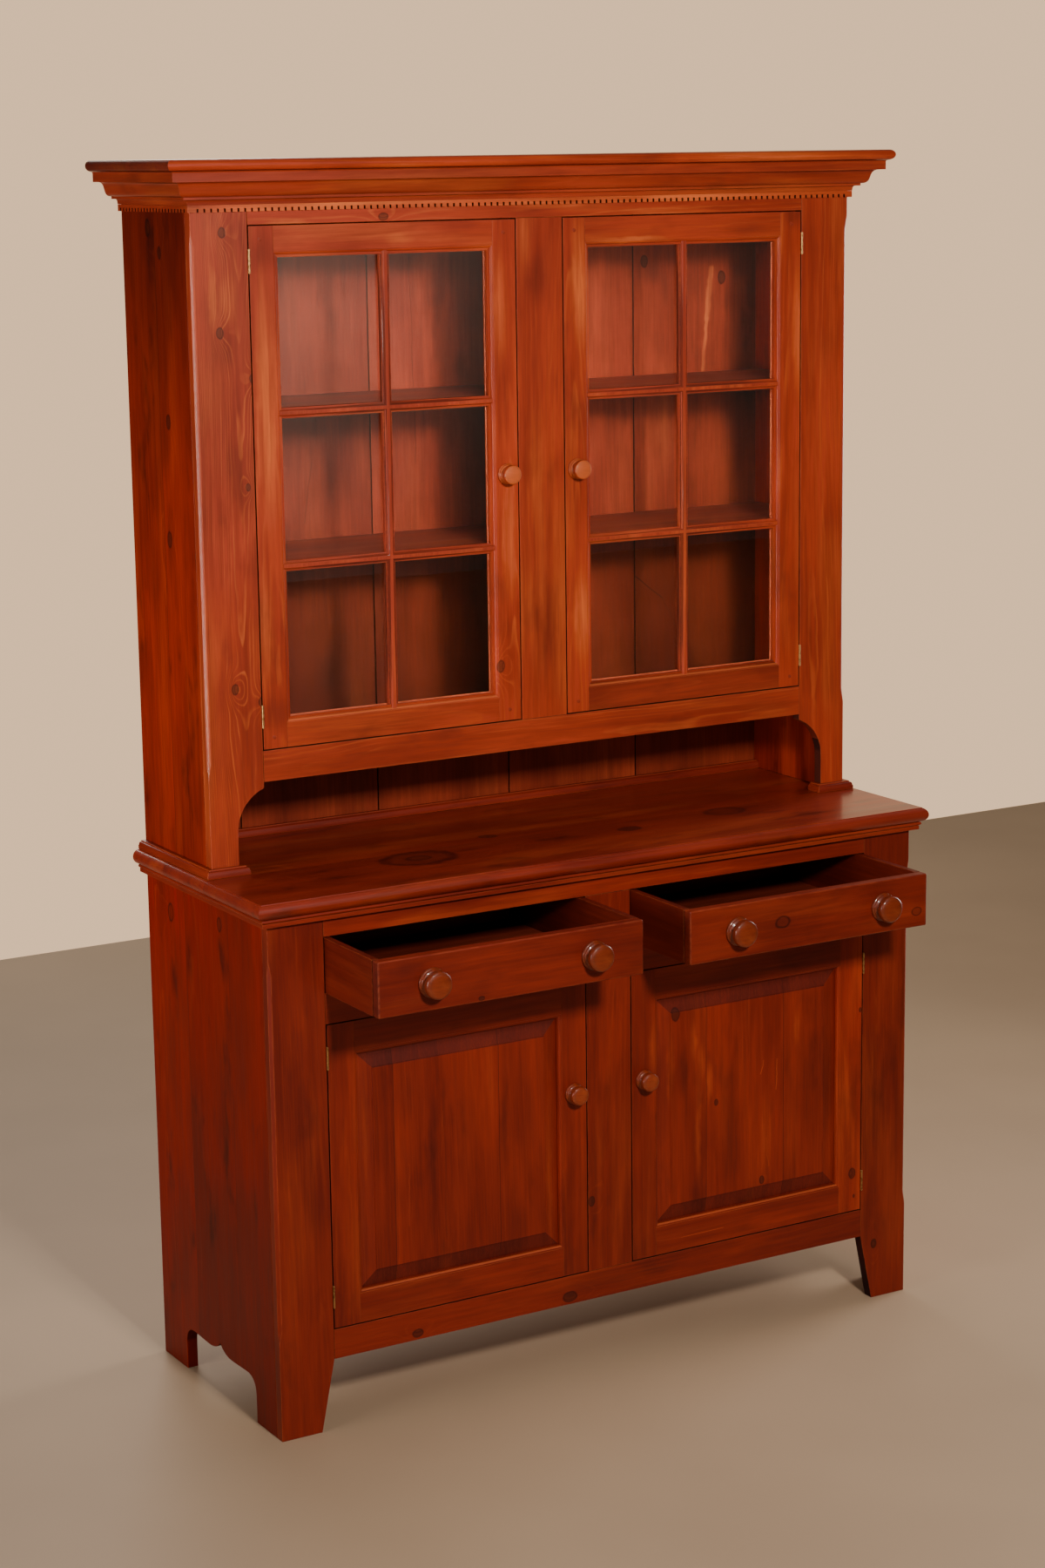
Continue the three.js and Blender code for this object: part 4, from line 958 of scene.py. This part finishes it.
BAR_FACE = 8.9 * MM
BAR_EASE = 0.25 * MM
for side in ("left", "right"):
    prefix = f"upper_{side}_door"
    door_members(prefix, **GLAZED)
    node = prefix + "_muntins"
    low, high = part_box(node)
    woods = [pine(f"{node}_{grain}", (low, high), grain, "front", golden=0.3, rough=0.46, shine=0.25,
                  coat=0.06) for grain in "ZX"]
    centre_x = (low.x + high.x) / 2
    piece(prefix + "_bars", ease(cad_shape(node), BAR_EASE, 1, 50), woods, node,
          choose=lambda face: 0 if abs(face.calc_center_median().x - centre_x) < BAR_FACE else 1)
    glazing(prefix, GLAZED["stile"], GLAZED["rail"])

PANEL_INSET = 2.6 * MM
PANEL_FLAT = radians(7)
PANEL_SIGHT = 9 * MM
PANEL_TONGUE = 4.8 * MM
BEVEL_RISE = 4.6 * MM
FIELD_EDGE = PANEL_SIGHT + 27 * MM

for side in ("left", "right"):
    prefix = f"lower_{side}_door"
    door_members(prefix, **PANELLED)
    node = prefix + "_panel"
    low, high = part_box(node)
    tongue_front = high.y - PANEL_TONGUE
    bevel_top = tongue_front - BEVEL_RISE
    # each ring: distance in from the panel's edge, then depth
    rings = [
        (PANEL_INSET, high.y), (PANEL_INSET, tongue_front), (PANEL_SIGHT, tongue_front),
        (FIELD_EDGE - 0.6 * MM, bevel_top), (FIELD_EDGE - 0.2 * MM, bevel_top - 0.1 * MM),
        (FIELD_EDGE, bevel_top - 0.5 * MM), (FIELD_EDGE, low.y + 0.5 * MM),
        (FIELD_EDGE + 0.4 * MM, low.y + 0.1 * MM), (FIELD_EDGE + 1 * MM, low.y),
    ]
    corners = [[Vector((x, y, z)) for x, z in (
        (low.x + d, low.z + d), (high.x - d, low.z + d), (high.x - d, high.z - d), (low.x + d, high.z - d),
    )] for d, y in rings]
    wood = pine(node, (low, high), "Z", "base", end=0.8, golden=0.15, tones=0.1,
                **PANEL_MARKS[side])
    piece(prefix + "_raised_panel", loft(corners), [wood], node, sharp=PANEL_FLAT)

# Turned knobs, as shares of the radius and of how far they stand out
KNOB_STEPS = [
    (0, 0), (0.94, 0), (0.985, 0.02), (1, 0.06), (1, 0.11), (0.975, 0.15), (0.92, 0.17),
    (0.9, 0.19), (0.905, 0.22), (0.89, 0.26), (0.84, 0.29), (0.76, 0.32), (0.71, 0.37), (0.705, 0.42),
    (0.74, 0.47), (0.82, 0.51), (0.89, 0.545), (0.925, 0.59), (0.935, 0.65), (0.935, 0.8), (0.925, 0.86),
    (0.89, 0.915), (0.83, 0.95), (0.74, 0.972), (0.6, 0.985), (0.4, 0.995), (0.2, 1), (0, 1),
]
KNOB_TONES = {"deep": (0.16, 0.012, 0.003), "stain": (0.3, 0.035, 0.006), "gold": (0.62, 0.15, 0.03)}

for node in [name for name in frame["nodes"] if "_knob" in name]:
    low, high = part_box(node)
    foot = (low + high) / 2
    foot.y = high.y
    profile = [(share * (high.x - low.x) / 2, along * (high.y - low.y)) for share, along in KNOB_STEPS]
    lighter, rub = (0.6, 0.1) if "drawer" in node else (0.8, 0.25) if "lower" in node else (1.3, 0.8)
    tones = {word: [lighter * part for part in tone] for word, tone in KNOB_TONES.items()}
    wood = pine(node, (low, high), "X", "front", **tones, figure=0.08, golden=0.3, mottle=0.3, rough=0.28,
                shine=0.3, coat=0.4, coat_rough=0.07, ring=2.2, behind=14, tilt=(8, 4), end=0.4)
    shape = mark(turned(profile, foot, -Y, 56), "wear", lambda face: face.normal.y < -0.75, rub)
    piece(node + "_turned", shape, [wood], node)

# Drawers
DRAWER_WALL = 12 * MM
DRAWER_FLOOR = 8 * MM
DRAWER_EASE = 0.8 * MM
FRONT_EASE = 2.6 * MM
FRONT_KNOTS = {"left": [(-357, 765, 4)], "right": [(236, 808, 10, 0.35), (522, 787, 7, 0.4)]}

for side in ("left", "right"):
    node = f"{side}_drawer_front"
    low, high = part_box(node)
    wood = pine(node, (low, high), "X", "base", knots=FRONT_KNOTS[side], shade=0.86, figure=0.06, end=0.5)
    shape = ease(box_shape(low, high), FRONT_EASE, 4, rub=0.3)
    piece(f"{side}_drawer_face", shape, [wood], node)
    node = f"{side}_drawer_box"
    low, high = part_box(node)
    left, right = low.x + DRAWER_WALL, high.x - DRAWER_WALL
    back, floor_top = high.y - DRAWER_WALL, low.z + DRAWER_FLOOR
    boards = {
        "side_left": (low, (left, high.y, high.z), "Y", "base", "X", 0.6),
        "side_right": ((right, low.y, low.z), high, "Y", "base", "X", 0.6),
        "back": ((left, back, floor_top), (right, high.y, high.z), "X", "inside", "Y", 0.5),
        "bottom": ((left, low.y, low.z), (right, high.y, floor_top), "X", "inside", "Z", 0.5),
    }
    for name, (start, end, grain, look, face, shade) in boards.items():
        title = f"{side}_drawer_{name}"
        wood = pine(title, (Vector(start), Vector(end)), grain, look, face, shade=shade, figure=0.05)
        piece(title, ease(box_shape(start, end), DRAWER_EASE), [wood], node)

# Hinges
KNUCKLE = 1.8 * MM
KNUCKLE_EDGE = 0.3 * MM
KNUCKLE_GAP = 0.15 * MM
PIN_IN = 2.4 * MM
PLATE = 0.65 * MM
PLATE_EASE = 0.12 * MM
PLATE_FRONT = 0.4 * MM
STILE_PLATE = 0.85 * MM
DOOR_PLATE = 0.95 * MM
PIN_TIP = [(0, -1.1 * MM), (0.9 * MM, -0.8 * MM), (1.3 * MM, 0)]


def knuckle(centre, low, high):
    inner = KNUCKLE - KNUCKLE_EDGE
    profile = [(0, low), (inner, low), (KNUCKLE, low + KNUCKLE_EDGE), (KNUCKLE, high - KNUCKLE_EDGE),
               (inner, high), (0, high)]
    return turned(profile, centre, Z, 28)


def leaf(x, thick, front, low, high):
    """A hinge plate from x, thick to either side, between front and the back of the hinge's box."""
    return ease(box_shape((min(x, x + thick), front, low.z), (max(x, x + thick), high.y, high.z)),
                PLATE_EASE, 1)


for node in [name for name in frame["nodes"] if "_hinge_" in name]:
    low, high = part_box(node)
    door = node.split("_hinge_")[0] + "_door"
    side = -1 if low.x < 0 else 1
    pin = (low + high) / 2
    pin.y = low.y + PIN_IN
    tall = high.z - low.z
    third = tall / 3
    tip = [*PIN_TIP, (PIN_TIP[-1][0], third), (0, third)]
    front = pin.y + PLATE_FRONT
    shapes = [
        leaf(pin.x + side * STILE_PLATE, -side * PLATE, front, low, high),
        knuckle(pin, -tall / 2, -third / 2 - KNUCKLE_GAP), knuckle(pin, third / 2 + KNUCKLE_GAP, tall / 2),
        turned(tip, pin - Z * tall / 2, Z, 20), turned(tip, pin + Z * tall / 2, -Z, 20),
    ]
    piece(node + "_stile_leaf", joined(shapes), [BRASS], node)
    shapes = [leaf(pin.x - side * DOOR_PLATE, side * PLATE, front, low, high),
              knuckle(pin, -third / 2, third / 2)]
    piece(node + "_door_leaf", joined(shapes), [BRASS], door + "_frame", stands_for=False)

# Pegs at the corner joints of the glazed doors, their spots in mm
PEG_SPOTS = [(side * x, z) for side in (-1, 1) for x in (525, 70) for z in (1150, 1967)]
PEG_PROFILE = [(radius * MM, out * MM) for radius, out in (
    (0, -3), (3.4, -3), (3.4, 0.05), (3.1, 0.2), (2, 0.32), (0, 0.36))]
PEG_REACH = 3
for number_of, (x, z) in enumerate(PEG_SPOTS):
    door = "upper_left_door" if x < 0 else "upper_right_door"
    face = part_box(door + "_frame")[0].y
    shape = turned(PEG_PROFILE, Vector((x * MM, face, z * MM)), -Y, 24)
    box = [Vector(((x + reach) * MM, face, (z + reach) * MM)) for reach in (-PEG_REACH, PEG_REACH)]
    title = f"{door}_peg_{number_of}"
    wood = pine(title, box, "Y", "front", "X", shade=1.05, ring=1.1, behind=2, end=0.5)
    piece(title, shape, [wood], door + "_frame", stands_for=False)


# Floor, light and camera
WALL_LINE = 3.09
ROOM_DARK = (0.03, 0.025, 0.021, 1)
WALL_COLOUR = (1.15, 0.76, 0.45, 1)
WINDOW_COLOUR = (0.95, 0.82, 0.66, 1)


def floor():
    bm = bmesh.new()
    bmesh.ops.create_grid(bm, x_segments=8, y_segments=8, size=9)
    for vert in bm.verts:
        vert.co.y = min(vert.co.y, WALL_LINE)
    mesh = bpy.data.meshes.new("floor")
    bm.to_mesh(mesh)
    bm.free()
    material, spots = new_material("pale_floor")
    cloud = stepped(noise(spots["Object"], 1, 1.3, 3), 0.3, 0.7)
    colour = mixed(cloud, (0.38, 0.265, 0.175, 1), (0.42, 0.295, 0.195, 1))
    surfaced(material, add("BsdfPrincipled", {"Base Color": colour, "Roughness": 0.6}))
    mesh.materials.append(material)
    placed("floor", mesh)


def area_light(name, place, aim, width, height, power, colour, spread=180):
    data = bpy.data.lights.new(name, "AREA")
    data.shape = "RECTANGLE"
    data.size = width
    data.size_y = height
    data.energy = power
    data.color = colour
    data.spread = radians(spread)
    lamp = placed(name, data)
    lamp.visible_camera = False
    lamp.location = place
    lamp.rotation_euler = (Vector(aim) - Vector(place)).to_track_quat("-Z", "Y").to_euler()


floor()
area_light("key light", (-0.6, -3.3, 2.53), (-0.05, 0.1, 1.3), 0.36, 0.36, 122, (1, 0.93, 0.84))
top_light = bpy.data.lights.new("overhead", "SUN")
top_light.energy = 0.3
top_light.angle = 1.2
top_light.color = (1, 0.94, 0.78)
placed("overhead", top_light)
area_light("right fill", (3.7, 0.6, 1.5), (0.6, 0.1, 1.2), 1.6, 1.6, 30, (1, 0.94, 0.86), 70)
area_light("left fill", (-3, -0.25, 1.3), (-0.6, 0.1, 1.3), 1.2, 1.2, 11, (1, 0.94, 0.86), 70)
area_light("back fill", (0.6, 4.4, 3), (0, 0.3, 1), 2.2, 2.2, 75, (1, 0.95, 0.88))
area_light("left strip", (-3.2, -1.06, 1.13), (-0.6, 0.1, 1.13), 0.04, 1.7, 9, (1, 0.82, 0.7))

# The room that the varnish mirrors: dark, with a lit wall behind and a window before the cupboard
world = bpy.data.worlds.new("room")
bpy.context.scene.world = world
world.use_nodes = True
backdrop = world.node_tree.nodes["Background"].inputs
heading = add("TexCoord", tree=world.node_tree).outputs["Generated"]
wall = stepped(vector("DOT_PRODUCT", heading, (0.5, 0.86, 0)), 0.72, 0.96)
room = mixed(wall, ROOM_DARK, WALL_COLOUR)
side_on = vector("DOT_PRODUCT", heading, (0.25, -0.97, 0))
window = ramp(stepped(side_on, 0.955, 0.985), 0.85, 0)
window = ramp(stepped(side_on, 0.82, 0.94), 0.18, window)
height = coordinate(heading, 2)
window = times(window, stepped(height, -0.2, -0.02))
window = times(window, stepped(height, 0.02, 0.12, 1, 0.35))
room = mixed(window, room, WINDOW_COLOUR)
# What the camera sees past the cupboard, also through the panes, is the plain wall
path = add("LightPath", tree=world.node_tree).outputs
bounces = number("ADD", path["Diffuse Depth"], path["Glossy Depth"])
through = times(path["Is Transmission Ray"], number("LESS_THAN", bounces, 0.5))
seen = number("MAXIMUM", path["Is Camera Ray"], through)
give(backdrop, Color=mixed(seen, room, WALL_COLOUR))
backdrop["Strength"].default_value = 1

YAW = radians(30.51)
PITCH = radians(-11.70)
ROLL = radians(-0.77)
CAMERA_PLACE = Vector((-2.717, -4.4574, 2.104))
lens = bpy.data.cameras.new("camera")
lens.sensor_width = 36
lens.lens = 70.4
camera = placed("camera", lens)
turn = Matrix.Rotation(-YAW, 4, "Z") @ Matrix.Rotation(pi / 2 + PITCH, 4, "X")
camera.matrix_world = Matrix.Translation(CAMERA_PLACE) @ turn @ Matrix.Rotation(ROLL, 4, "Z")
bpy.context.scene.camera = camera
